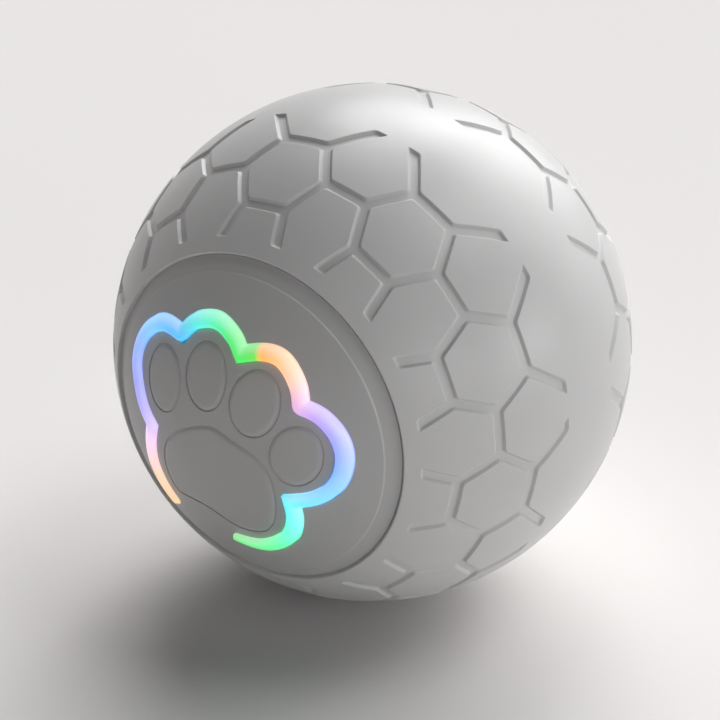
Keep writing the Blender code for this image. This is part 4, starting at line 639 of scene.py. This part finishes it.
def cap_base(skin, side):
    """Rim, ring and stepped edge of a cap: returns the loops on the dome and in the hollow."""
    slope = tan(OPENING_ANGLE)
    edge_height = sqrt(BALL_RADIUS ** 2 - OPENING_RADIUS ** 2) - RING_SINK
    side_height = edge_height - RING_BEVEL / 2
    side_radius = side_height * slope - CAP_SEAM
    ring_inner = DOME_EDGE_RADIUS + DOME_STEP
    ring_height = sqrt(BALL_RADIUS ** 2 - ring_inner ** 2) - RING_SINK - RING_DROP
    inner = DOME_EDGE_RADIUS - DOME_EDGE_WIDTH
    rings = turned(skin, soften([
        (CAP_HOLLOW_RADIUS, CAP_FOOT),
        (CAP_FOOT * slope - CAP_SEAM, CAP_FOOT),
        (side_radius, side_height),
        (side_radius - RING_BEVEL, edge_height),
        (ring_inner, ring_height),
        (DOME_EDGE_RADIUS, DOME_EDGE_HEIGHT),
        (inner, dome(1)(inner, 0).y),
    ], CAP_SOFTNESS), CAP_SIDES, side)
    hollow = skin.loop(circle(CAP_HOLLOW_RADIUS, CAP_SIDES), dome_inside(side))
    skin.wall(rings[0], hollow)
    return rings[-1], hollow


def cap_boss(skin, side, x, z):
    """Boss under a cap with a shoulder and a blind screw hole; returns its root."""
    shoulder = side * (BOARD_TOP + SEAT_GAP)
    foot = side * CAP_FOOT
    depth = side * (CAP_FOOT + SCREW_HOLE_DEPTH)
    wide, slim, hole = (circle(radius, BOSS_SIDES, x, z)
                        for radius in (BOSS_RADIUS, SPIGOT_RADIUS, SCREW_HOLE_RADIUS))
    root = skin.loop(wide, dome_inside(side))
    stages = [root, skin.loop(wide, level(shoulder)), skin.loop(slim, level(shoulder)),
              skin.loop(slim, level(foot)), skin.loop(hole, level(foot)),
              skin.loop(hole, level(depth))]
    skin.fill([skin.walls(stages)], level(depth))
    return root


def toe_outline(shares, depth):
    """Oval outline of a toe, drawn in by a depth."""
    x, z, length, width, turn = shares
    along = Vector((cos(radians(turn)), sin(radians(turn))))
    across = normal_of(along)
    centre = Vector((x, z)) * PAW_REACH
    points = []
    for i in range(TOE_SIDES):
        angle = 2 * pi * i / TOE_SIDES
        points.append(tuple(centre + along * (length * PAW_REACH - depth) * cos(angle)
                            + across * (width * PAW_REACH - depth) * sin(angle)))
    return points


def pad_outline(depth):
    """Outline of the main pad, drawn in by a depth."""
    curve = spline([(x * PAW_REACH, z * PAW_REACH) for x, z in PAD], PAD_STEPS, True)
    return drawn_in(curve, depth)


def raised(skin, outline, side):
    """Island in a fine groove, with soft edges, on a cap: returns its loop on the face."""
    loops = [skin.loop(outline(depth), dome(side, share * RELIEF_HEIGHT))
             for depth, share in RELIEF]
    skin.fill([skin.walls(loops)], dome(side, RELIEF[-1][1] * RELIEF_HEIGHT), DOME_GRID)
    return loops[0]


def band_lobes():
    """Fine middle line of each lobe of the light band."""
    return [[Vector(point) * PAW_REACH for point in spline(lobe, BAND_STEPS)] for lobe in LOBES]


def lobe_joint(first, second):
    """Corner, direction across and stretch of the mitre between two lobes."""
    arriving = (first[-1] - first[-2]).normalized()
    leaving = (second[1] - second[0]).normalized()
    along = (arriving + leaving).normalized()
    return second[0], along, normal_of(along) / normal_of(along).dot(normal_of(arriving))


def eased(line, corners):
    """Line of points, drawn rounder near the corners."""
    points = list(dict.fromkeys(line))
    spots = [Vector(point) for point in points]
    moved = dict(zip(points, points))
    for i in range(1, len(spots) - 1):
        if any((spots[i] - corner).length < EASE_REACH for corner in corners):
            moved[points[i]] = tuple((spots[i - 1] + spots[i] * 2 + spots[i + 1]) / 4)
    return [moved[point] for point in line]


def band_taper(way, length):
    """Shares of the full width and height at a distance along the band."""
    reach = min(way, length - way)
    share = min(1, reach / BAND_TAPER)
    width = BAND_TIP_SHARE + (1 - BAND_TIP_SHARE) * sin(share * pi / 2)
    nose = min(1, (reach + NOSE_START * BAND_NOSE) / BAND_NOSE)
    height = sqrt(nose * (2 - nose))
    return width * height, height


def band_rows(reaches, margin=0):
    """Rows of points across the band, each with its shares of the band's way and height."""
    lobes = band_lobes()
    joints = [lobe_joint(first, second) for first, second in zip(lobes, lobes[1:])]
    length = sum((b - a).length for lobe in lobes for a, b in zip(lobe, lobe[1:]))
    rows = []
    way = 0
    for number, lobe in enumerate(lobes):
        before = joints[number - 1] if number else None
        after = joints[number] if number < len(joints) else None
        for i, point in enumerate(lobe):
            if i:
                way += (point - lobe[i - 1]).length
            if i == len(lobe) - 1 and after:
                continue
            width, height = band_taper(way, length)
            along = (lobe[min(i + 1, len(lobe) - 1)] - lobe[max(i - 1, 0)]).normalized()
            row = []
            for reach in reaches:
                own = reach * width + (margin if reach > 0 else -margin)
                spot = point + normal_of(along) * own
                for joint, past in ((before, -1), (after, 1)):
                    if not joint:
                        continue
                    corner, line, across = joint
                    near = (point - corner).length < JOINT_REACH
                    if near and (spot - corner).dot(line) * past > -MERGE or point == corner:
                        spot = corner + across * own
                row.append(tuple(spot))
            rows.append((row, way / length, height))
    corners = [corner for corner, _, _ in joints]
    columns = [eased(column, corners) for column in zip(*(row for row, _, _ in rows))]
    return [(row, way, height) for row, (_, way, height) in zip(zip(*columns), rows)]


def band_outline(reach, margin=0):
    """Closed outline round the band at a distance from its middle line."""
    rows = band_rows((reach, -reach), margin)
    left = list(dict.fromkeys(row[0] for row, _, _ in rows))
    right = list(dict.fromkeys(row[1] for row, _, _ in rows))
    return left + right[::-1]


def lamp_places():
    """Centres of the lamps, as in the solids."""
    lows = [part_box("led_%d" % number) for number in range(1, LAMPS + 1)]
    return [((low.x + high.x) / 2, (low.z + high.z) / 2) for low, high in lows]


def front_cap(finish):
    """Front cap with the raised paw and the channel of the light band."""
    skin = Skin()
    sunk = dome(-1, -BAND_SINK - BAND_PLAY)
    under = dome_inside(-1)
    edge, hollow = cap_base(skin, -1)
    on_face = [edge]
    for shares in TOES:
        on_face.append(raised(skin, lambda depth, own=shares: toe_outline(own, depth), -1))
    on_face.append(raised(skin, pad_outline, -1))
    channel = [skin.loop(band_outline(BAND_HALF, BAND_PLAY + grow), dome(-1, height))
               for grow, height in (*CHANNEL_RIM, (0, -BAND_SINK - BAND_PLAY))]
    on_face.append(channel[0])
    in_floor = [skin.walls(channel)]
    skin.fill(on_face, dome(-1), DOME_GRID)
    underneath = [hollow]
    for x, z in lamp_places():
        hole = circle(PIN_RADIUS + BAND_PLAY, PIN_SIDES, x, z)
        high = skin.loop(hole, sunk)
        low = skin.loop(hole, under)
        skin.wall(high, low)
        in_floor.append(high)
        underneath.append(low)
    skin.fill(in_floor, sunk)
    underneath += [cap_boss(skin, -1, x, z) for x, z in cap_screw_places()]
    skin.fill(underneath, under, UNDER_GRID)
    skin.finish("front_cap_shell", "ball", "paw_cap", "cap", finish)


def light_band(finish):
    """Glowing outline of the paw: a half-round band with a pin over each lamp."""
    skin = Skin()
    way_layer = skin.mesh.verts.layers.float.new("way")
    # Share of each corner towards the flank that gets a painted highlight in the glow
    painted_highlight_layer = skin.mesh.verts.layers.float.new("lit_side")
    profile = [(-1, -BAND_SINK)]
    for k in range(BAND_SIDES + 1):
        turn = pi * k / BAND_SIDES
        profile.append((-cos(turn), BAND_SHOULDER + (BAND_RISE - BAND_SHOULDER) * sin(turn)))
    profile.append((1, -BAND_SINK))
    known = {}
    loops = []
    for row, way, height in band_rows([share * BAND_HALF for share, _ in profile]):
        loop = []
        # How far this row's across direction faces the flank of the painted highlight
        facing_painted_highlight = (Vector(row[-1]) - Vector(row[0])).normalized().dot(PAINTED_HIGHLIGHT_SIDE)
        for column, ((x, z), (share, rise)) in enumerate(zip(row, profile)):
            key = (column, x, z)
            if key not in known:
                lift = rise if rise < 0 else rise * height
                corner = skin.loop([(x, z)], dome(-1, lift))[0]
                corner[way_layer] = way
                corner[painted_highlight_layer] = share * facing_painted_highlight
                known[key] = corner
            loop.append(known[key])
        loops.append(loop)
    skin.walls(loops, closed=False)
    for loop in (loops[0], loops[-1]):
        skin.face(*loop)
    low = list(dict.fromkeys(loop[0] for loop in loops))
    high = list(dict.fromkeys(loop[-1] for loop in loops))
    under = [low + high[::-1]]
    floor = dome(-1, -BAND_SINK)
    pin_end = -(BOARD_TOP + PIN_CLEARANCE + LAMP_HEIGHT)
    for x, z in lamp_places():
        pin = circle(PIN_RADIUS, PIN_SIDES, x, z)
        root = skin.loop(pin, floor)
        end = skin.loop(pin, level(pin_end))
        skin.wall(root, end)
        skin.fill([end], level(pin_end))
        under.append(root)
    skin.fill(under, floor)
    skin.finish("glowing_outline", "ball", "paw_light_guide", "light", finish)


def port_outline(margin):
    """Outline of the charging port, widened by a margin."""
    return rounded_slot(SOCKET_WIDTH + 2 * margin, SOCKET_DEPTH + 2 * margin, 0, PORT_Z)


def rear_cap(finish):
    """Rear cap with the button's well and the recess of the plug."""
    skin = Skin()
    under = dome_inside(1)
    edge, hollow = cap_base(skin, 1)
    radius = BUTTON_RADIUS + BUTTON_PLAY
    well = [skin.loop(circle(radius + grow, BUTTON_SIDES), dome(1, -drop))
            for grow, drop in WELL_EDGE]
    well.append(skin.loop(circle(radius, BUTTON_SIDES), under))
    recess = [skin.loop(port_outline(PORT_PLAY + PLUG_MARGIN + grow), dome(1, -drop))
              for grow, drop in (*RECESS_EDGE, (0, PLUG_RECESS))]
    recess += [skin.loop(port_outline(PORT_PLAY), dome(1, -PLUG_RECESS)),
               skin.loop(port_outline(PORT_PLAY), under)]
    below = [skin.walls(stages) for stages in (well, recess)]
    skin.fill([edge, well[0], recess[0]], dome(1), DOME_GRID)
    bosses = [cap_boss(skin, 1, x, z) for x, z in cap_screw_places()]
    skin.fill([hollow] + below + bosses, under, UNDER_GRID)
    skin.finish("rear_cap_shell", "ball", "rear_cap", "cap", finish)


def button(finish):
    """Power button: dished crown with a raised ring and bar, flange and stem."""
    skin = Skin()
    stem_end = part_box("power_button")[0].y
    flange_top = dome_inside(1)(FLANGE_RADIUS, 0).y - SEAT_GAP
    flange_foot = flange_top - FLANGE_THICK
    profile = [(STEM_RADIUS, stem_end), (STEM_RADIUS, flange_foot), (FLANGE_RADIUS, flange_foot),
               (FLANGE_RADIUS, flange_top), (BUTTON_RADIUS, flange_top)]
    profile += [(BUTTON_RADIUS - inset, CAP_HIGHEST - drop) for inset, drop in CROWN_EDGE]
    profile.append((DISH_RADIUS, CAP_HIGHEST - DISH_DEPTH))
    rings = turned(skin, soften(profile, BUTTON_SOFTNESS), BUTTON_SIDES)
    skin.fill([rings[0]], level(stem_end))
    outer, inner = RING_RADII
    angles = [pi / 2 + RING_GAP + (2 * pi - 2 * RING_GAP) * i / RING_STEPS
              for i in range(RING_STEPS + 1)]
    ring_mark = [polar(outer, a) for a in angles] + [polar(inner, a) for a in angles[::-1]]
    bar_mark = [(z, x + BAR_Z) for x, z in rounded_slot(BAR_LENGTH, BAR_WIDTH, 0, 0, BAR_STEPS)]
    dish = level(CAP_HIGHEST - DISH_DEPTH)
    mark_top = level(CAP_HIGHEST - DISH_DEPTH + MARK_RISE)
    in_dish = [rings[-1]]
    for mark in (ring_mark, bar_mark):
        low, high = skin.loop(mark, dish), skin.loop(mark, mark_top)
        skin.wall(low, high)
        skin.fill([high], mark_top)
        in_dish.append(low)
    skin.fill(in_dish, dish)
    skin.finish("button_crown", "button", "power_button", "button", finish, BUTTON_SHARP_ANGLE)


def stopper(finish):
    """Plug of the charging port, with a finger lip and a hollow skirt."""
    skin = Skin()
    outside = PORT_PLAY + PLUG_MARGIN - PLUG_PLAY
    underside = dome(1, -PLUG_RECESS + PLUG_PLAY)
    tip = SOCKET_TOP - PLUG_REACH
    head = [skin.loop(port_outline(outside - inset), dome(1, -drop)) for inset, drop in PLUG_HEAD]
    skin.fill([skin.walls(head)], dome(1, -PLUG_HEAD[-1][1]), DOME_GRID / 2)
    skirt = port_outline(-SKIRT_INSET)
    pocket = port_outline(-POCKET_INSET)
    plug = [skin.loop(skirt, underside), skin.loop(skirt, level(tip + TIP_BEVEL)),
            skin.loop(port_outline(-TIP_INSET), level(tip)),
            skin.loop(pocket, level(tip)), skin.loop(pocket, level(SOCKET_TOP))]
    skin.fill([skin.walls(plug)], level(SOCKET_TOP))
    skin.fill([head[0], plug[0]], underside)
    skin.finish("port_stopper", "plug", "port_plug", "plug", finish)


# Finishes: how far a moulded surface's clouds and grain, and a metal's scratches and patches,
# change its colour and gloss

CLOUD_SIZE = 14 * MM
CLOUD_SHARE = 0.7
CLOUD_GLOSS = 0.18
GRAIN_GLOSS = 0.1
SCRATCH_SIZE = 0.12 * MM
SCRATCH_GLOSS = 0.25
PATCH_SIZE = 3 * MM
PATCH_GLOSS = 0.2
PATCH_TINTS = (0.86, 1.08)


class Value:
    """Socket of a node tree; an expression on values adds its Math nodes."""

    def __init__(self, nodes, socket):
        self.nodes = nodes
        self.socket = socket

    def __add__(self, other):
        return self.nodes.maths("ADD", self, other)

    def __radd__(self, other):
        return self.nodes.maths("ADD", other, self)

    def __sub__(self, other):
        return self.nodes.maths("SUBTRACT", self, other)

    def __rsub__(self, other):
        return self.nodes.maths("SUBTRACT", other, self)

    def __mul__(self, other):
        return self.nodes.maths("MULTIPLY", self, other)

    def __rmul__(self, other):
        return self.nodes.maths("MULTIPLY", other, self)


class Nodes:
    """Node tree of a material or of the sky."""

    def __init__(self, tree):
        self.tree = tree

    def node(self, kind, settings=None, sockets=None, output=0):
        """Add a node with its settings and the values or links of its sockets."""
        made = self.tree.nodes.new(kind)
        for key, value in (settings or {}).items():
            if key == "stops":
                self.set_stops(made.color_ramp, value)
            else:
                setattr(made, key, value)
        for key, value in (sockets or {}).items():
            self.put(made.inputs[key], value)
        return Value(self, made.outputs[output]) if made.outputs else None

    def maths(self, operation, *values):
        """Add a Math node."""
        return self.node("ShaderNodeMath", {"operation": operation}, dict(enumerate(values)))

    def put(self, socket, value):
        """Link a value to a socket, or set the socket."""
        if isinstance(value, Value):
            self.tree.links.new(value.socket, socket)
        else:
            socket.default_value = value

    def set_stops(self, ramp, stops):
        """Give a colour ramp its stops."""
        while len(ramp.elements) < len(stops):
            ramp.elements.new(0.5)
        for element, (place, colour) in zip(ramp.elements, stops):
            element.position = place
            element.color = (*colour, 1)


class Finish(Nodes):
    """Material with a Principled shader, whose plain values are set on its sockets."""

    def __init__(self, name, **plain):
        self.material = bpy.data.materials.new(name)
        self.material.use_nodes = True
        super().__init__(self.material.node_tree)
        self.shader = self.tree.nodes["Principled BSDF"]
        self.surface(**plain)

    def surface(self, **values):
        """Feed sockets of the shader."""
        for socket, value in values.items():
            self.put(self.shader.inputs[socket.replace("_", " ")], value)
        return self.material

    def place(self):
        """Place on the piece, in metres."""
        return self.node("ShaderNodeTexCoord", output="Object")

    def noise(self, size, detail=2, place=None):
        """Noise with features of a size in metres."""
        return self.node("ShaderNodeTexNoise", {}, {
            "Vector": place or self.place(), "Scale": 1 / size, "Detail": detail})

    def cells(self, size):
        """Distance to the nearest of scattered points."""
        return self.node("ShaderNodeTexVoronoi", {}, {"Vector": self.place(), "Scale": 1 / size})

    def ramp(self, value, low, high):
        """Value that rises from 0 to 1 between two bounds."""
        return self.node("ShaderNodeMapRange", {"interpolation_type": "SMOOTHSTEP"}, {
            "Value": value, "From Min": low, "From Max": high})

    def mix(self, share, first, second):
        """Mix of two colours."""
        return self.node("ShaderNodeMix", {"data_type": "RGBA"}, {
            0: share, 6: (*first, 1) if isinstance(first, tuple) else first,
            7: (*second, 1) if isinstance(second, tuple) else second}, output=2)

    def bump(self, height, depth):
        """Fine relief of a depth in metres."""
        return self.node("ShaderNodeBump", {}, {"Height": height, "Distance": depth})


def tinted(colour, share):
    """Colour made lighter or darker by a share."""
    return tuple(min(1, part * share) for part in colour)


def moulded(name, colour, roughness, grain, depth, spread=0.06):
    """Moulded plastic or rubber: fine spark-eroded grain, faint clouds in colour and gloss."""
    finish = Finish(name)
    cloud = finish.noise(CLOUD_SIZE, 3)
    fine = finish.noise(grain, 3)
    share = finish.ramp(cloud * CLOUD_SHARE + fine * (1 - CLOUD_SHARE), 0.3, 0.7)
    return finish.surface(
        Base_Color=finish.mix(share, tinted(colour, 1 - spread), tinted(colour, 1 + spread)),
        Roughness=roughness + (cloud - 0.5) * CLOUD_GLOSS + (fine - 0.5) * GRAIN_GLOSS,
        Normal=finish.bump(fine, depth))


def metal(name, colour, roughness, stretch, depth=0.006 * MM):
    """Plated or turned metal: fine scratches in one direction and dull patches."""
    finish = Finish(name, Metallic=1.0)
    place = finish.node("ShaderNodeVectorMath", {"operation": "MULTIPLY"}, {
        0: finish.place(), 1: stretch})
    scratches = finish.noise(SCRATCH_SIZE, 4, place)
    patches = finish.noise(PATCH_SIZE, 3)
    return finish.surface(
        Base_Color=finish.mix(patches, *(tinted(colour, share) for share in PATCH_TINTS)),
        Roughness=roughness + (scratches - 0.5) * SCRATCH_GLOSS + (patches - 0.5) * PATCH_GLOSS,
        Normal=finish.bump(scratches, depth))


# Colours of the light guide, by the share of the way along it
GLOW_STRENGTH = 0.85
MILK = (0.9, 0.9, 0.92)
MILK_SHARE = 0.14
# Painted highlight: on the flank that faces up and right, the glow is paled towards this colour
# by up to this share, with a little grain, as if light fell on it
PAINTED_HIGHLIGHT = (0.82, 0.82, 0.85)
PAINTED_HIGHLIGHT_SHARE = 0.45
PAINTED_HIGHLIGHT_GRAIN = 0.03
GLOW = (
    (0.000, (0.75, 0.42, 0.10)),
    (0.045, (0.85, 0.50, 0.24)),
    (0.085, (0.85, 0.52, 0.55)),
    (0.125, (0.70, 0.48, 0.82)),
    (0.160, (0.34, 0.27, 0.82)),
    (0.200, (0.19, 0.22, 0.85)),
    (0.250, (0.18, 0.34, 0.88)),
    (0.300, (0.14, 0.48, 0.95)),
    (0.345, (0.04, 0.40, 0.88)),
    (0.370, (0.03, 0.45, 0.74)),
    (0.400, (0.05, 0.72, 0.64)),
    (0.430, (0.04, 0.78, 0.38)),
    (0.460, (0.03, 0.72, 0.14)),
    (0.500, (0.03, 0.66, 0.05)),
    (0.513, (0.10, 0.62, 0.04)),
    (0.521, (0.95, 0.37, 0.05)),
    (0.550, (0.90, 0.47, 0.18)),
    (0.580, (0.84, 0.51, 0.37)),
    (0.605, (0.72, 0.40, 0.58)),
    (0.640, (0.42, 0.28, 0.78)),
    (0.680, (0.28, 0.30, 0.92)),
    (0.730, (0.18, 0.38, 0.96)),
    (0.780, (0.14, 0.54, 0.96)),
    (0.830, (0.09, 0.76, 0.88)),
    (0.870, (0.08, 0.90, 0.66)),
    (0.920, (0.08, 0.86, 0.30)),
    (1.000, (0.08, 0.68, 0.10)),
)


def glow():
    """Milky light guide lit from below in colours that change along it, with a painted highlight
    paling its upward flank.
    """
    finish = Finish("lit_guide", Roughness=0.32, Emission_Strength=GLOW_STRENGTH, IOR=1.49)
    way = finish.node("ShaderNodeAttribute", {"attribute_name": "way"}, output="Fac")
    side = finish.node("ShaderNodeAttribute", {"attribute_name": "lit_side"}, output="Fac")
    hue = finish.node("ShaderNodeValToRGB", {"stops": GLOW}, {0: way})
    grain = finish.noise(1.2 * MM, 3)
    # Painted highlight: share of pale colour in the glow, highest on the flank that faces up, as
    # if light fell on it
    pale = finish.ramp(side, -0.35, 1.0) * PAINTED_HIGHLIGHT_SHARE + (grain - 0.5) * PAINTED_HIGHLIGHT_GRAIN
    return finish.surface(
        Base_Color=finish.mix(MILK_SHARE, hue, MILK),
        Emission_Color=finish.mix(pale, hue, PAINTED_HIGHLIGHT),
        Normal=finish.bump(grain, 0.01 * MM))


def circuit_board():
    """Green board with solder mask over copper tracks."""
    finish = Finish("circuit_board", Roughness=0.38)
    tracks = finish.node("ShaderNodeTexBrick", {"offset": 0.5, "squash": 1.0}, {
        "Vector": finish.node("ShaderNodeVectorMath", {"operation": "MULTIPLY"}, {
            0: finish.place(), 1: (1, 0, 1)}),
        "Scale": 1 / (9 * MM), "Mortar Size": 0.03, "Mortar Smooth": 0.2}, output="Fac")
    pads = 1 - finish.ramp(finish.cells(2.6 * MM), 0.10, 0.16)
    cloud = finish.noise(2 * MM, 3)
    green = finish.mix(tracks, (0.012, 0.11, 0.045), (0.03, 0.24, 0.09))
    return finish.surface(
        Base_Color=finish.mix(pads * 0.9, green, (0.62, 0.56, 0.40)),
        Roughness=0.34 + cloud * 0.15, Normal=finish.bump(tracks + pads + cloud * 0.2, 0.03 * MM))


def cell_wrap():
    """Blue shrink film, slightly wavy, with a glossy coat."""
    finish = Finish("shrink_film", Roughness=0.3)
    waves = finish.noise(2.4 * MM, 2)
    cloud = finish.noise(9 * MM, 3)
    return finish.surface(
        Base_Color=finish.mix(cloud, (0.02, 0.13, 0.34), (0.04, 0.20, 0.46)),
        Roughness=0.24 + cloud * 0.14, Normal=finish.bump(waves, 0.05 * MM))


def lamp_body():
    """White lamp package with patches of yellow phosphor."""
    finish = Finish("lamp_body", Roughness=0.4)
    cloud = finish.noise(0.6 * MM, 3)
    phosphor = finish.ramp(cloud, 0.35, 0.65)
    return finish.surface(
        Base_Color=finish.mix(phosphor, (0.80, 0.80, 0.76), (0.86, 0.78, 0.36)),
        Roughness=0.35 + cloud * 0.2)


def finishes():
    """Finish of every material slot."""
    return {
        "cover": moulded("soft_cover", (0.56, 0.56, 0.56), 0.36, 0.16 * MM, 0.010 * MM, 0.02),
        "shell": moulded("shell_plastic", (0.70, 0.70, 0.71), 0.42, 0.3 * MM, 0.012 * MM),
        "seal": moulded("seal_rubber", (0.03, 0.03, 0.03), 0.55, 0.2 * MM, 0.02 * MM),
        "cap": moulded("cap_plastic", (0.46, 0.46, 0.46), 0.42, 0.13 * MM, 0.008 * MM, 0.03),
        "light": glow(),
        "board": circuit_board(),
        "lamp": lamp_body(),
        "button": moulded("button_rubber", (0.36, 0.36, 0.37), 0.5, 0.12 * MM, 0.012 * MM, 0.03),
        "dark": moulded("filled_nylon", (0.035, 0.035, 0.038), 0.5, 0.25 * MM, 0.02 * MM, 0.2),
        "steel": metal("plated_steel", (0.60, 0.60, 0.61), 0.30, (1, 0.06, 1)),
        "brass": metal("turned_brass", (0.72, 0.52, 0.22), 0.32, (1, 0.1, 1)),
        "zinc": metal("cast_zinc", (0.46, 0.47, 0.48), 0.48, (0.4, 0.4, 0.4), 0.03 * MM),
        "gear": moulded("gear_acetal", (0.78, 0.75, 0.66), 0.4, 0.5 * MM, 0.01 * MM),
        "frame": moulded("frame_plastic", (0.11, 0.115, 0.12), 0.45, 0.35 * MM, 0.015 * MM, 0.12),
        "cell": cell_wrap(),
        "plug": moulded("plug_silicone", (0.33, 0.33, 0.34), 0.55, 0.2 * MM, 0.015 * MM, 0.04),
    }


def dress_nodes(looks):
    """Give every CAD node its slot's finish."""
    slots = {entry["node"]: entry["material_slot"] for entry in frame["record"]["subparts"]}
    for name, thing in frame["nodes"].items():
        for held in thing.material_slots:
            held.material = looks[slots[name]]


# Studio

AZIMUTH = radians(34.9)
ELEVATION = radians(27.4)
DISTANCE = 15 * BALL_RADIUS
LENS = 194.2
SENSOR = 36
SHIFT = (-0.0176, -0.0251)
NEAREST, FARTHEST = 0.05, 100
FLOOR_REACH = 4
FLOOR_SQUARES = 8
FLOOR_CLOUDS = 0.5
FLOOR_SPREAD = 0.005
FLOOR_COLOUR = (0.935, 0.911, 0.902)
# The sky shows to the camera and in gloss, and puts no light on the ball
SKY_COLOUR = (0.896, 0.863, 0.855)
SKY_LIGHT = 0.0
# Lights, each with its turn from straight behind the ball to the right as the camera sees it,
# its height and its strength; their width and angles are in degrees
LIGHT_WIDTH = 30
LIGHTS = (
    ("low_back", 30, 17, 0.60),
    ("low_right_back", 60, 12, 0.25),
    ("low_right", 108, 4, 0.92),
    ("middle_back", 6, 36, 1.06),
    ("middle_right_back", 30, 35, 0.77),
    ("middle_right", 60, 36, 0.42),
    ("high_back", 0, 58, 0.52),
    ("high_right", 90, 60, 0.52),
    ("top_right", 60, 80, 0.12),
    ("low_front", 150, 13, 0.43),
)


def seen(right, up, back):
    """Direction given as the camera sees it: to the right, up and towards the camera."""
    a, e = AZIMUTH, ELEVATION
    return (Vector((cos(a), sin(a), 0)) * right
            + Vector((-sin(a) * sin(e), cos(a) * sin(e), cos(e))) * up
            + Vector((sin(a) * cos(e), -cos(a) * cos(e), sin(e))) * back).normalized()


def camera():
    """Camera at the photograph's angle, with a long lens."""
    lens = bpy.data.cameras.new("camera")
    lens.lens = LENS
    lens.sensor_width = SENSOR
    lens.shift_x, lens.shift_y = SHIFT
    lens.clip_start, lens.clip_end = NEAREST, FARTHEST
    thing = bpy.data.objects.new("camera", lens)
    back = seen(0, 0, 1)
    thing.location = back * DISTANCE
    thing.rotation_euler = (-back).to_track_quat("-Z", "Y").to_euler()
    bpy.context.scene.collection.objects.link(thing)
    bpy.context.scene.camera = thing


def lights():
    """Broad soft lights behind the ball and on its right."""
    right, away, up = seen(1, 0, 0), seen(0, sin(ELEVATION), -cos(ELEVATION)), Vector((0, 0, 1))
    for name, turn, height, strength in LIGHTS:
        turn, height = radians(turn), radians(height)
        source = (right * sin(turn) + away * cos(turn)) * cos(height) + up * sin(height)
        lamp = bpy.data.lights.new(name, "SUN")
        lamp.energy = strength
        lamp.angle = radians(LIGHT_WIDTH)
        thing = bpy.data.objects.new(name, lamp)
        thing.rotation_euler = (-source).to_track_quat("-Z", "Y").to_euler()
        bpy.context.scene.collection.objects.link(thing)


def floor():
    """Pale floor under the ball."""
    mesh = bmesh.new()
    bmesh.ops.create_grid(mesh, x_segments=FLOOR_SQUARES, y_segments=FLOOR_SQUARES,
                          size=FLOOR_REACH)
    data = bpy.data.meshes.new("floor")
    mesh.to_mesh(data)
    mesh.free()
    thing = bpy.data.objects.new("floor", data)
    thing.location = (0, 0, -BALL_RADIUS)
    bpy.context.scene.collection.objects.link(thing)
    finish = Finish("floor_sheet", Roughness=0.9, Specular_IOR_Level=0.0)
    data.materials.append(finish.surface(Base_Color=finish.mix(
        finish.noise(FLOOR_CLOUDS, 2), tinted(FLOOR_COLOUR, 1 - FLOOR_SPREAD),
        tinted(FLOOR_COLOUR, 1 + FLOOR_SPREAD))))


def sky():
    """Pale sky for the camera, for gloss and behind clear parts."""
    world = bpy.data.worlds.new("studio")
    bpy.context.scene.world = world
    world.use_nodes = True
    world.node_tree.nodes.clear()
    tree = Nodes(world.node_tree)
    direct, glossy, through = (
        tree.node("ShaderNodeLightPath", output="Is %s Ray" % kind)
        for kind in ("Camera", "Glossy", "Transmission"))
    shown = tree.maths("MAXIMUM", direct, tree.maths("MAXIMUM", glossy, through))
    light = tree.node("ShaderNodeBackground", {}, {"Color": (1, 1, 1, 1), "Strength": SKY_LIGHT})
    pale = tree.node("ShaderNodeBackground", {}, {"Color": (*SKY_COLOUR, 1)})
    tree.node("ShaderNodeOutputWorld", {}, {
        "Surface": tree.node("ShaderNodeMixShader", {}, {0: shown, 1: light, 2: pale})})


camera()
lights()
floor()
sky()
bpy.context.scene.view_settings.view_transform = "Standard"
looks = finishes()
dress_nodes(looks)
tread(looks["cover"])
front_cap(looks["cap"])
light_band(looks["light"])
rear_cap(looks["cap"])
button(looks["button"])
stopper(looks["plug"])
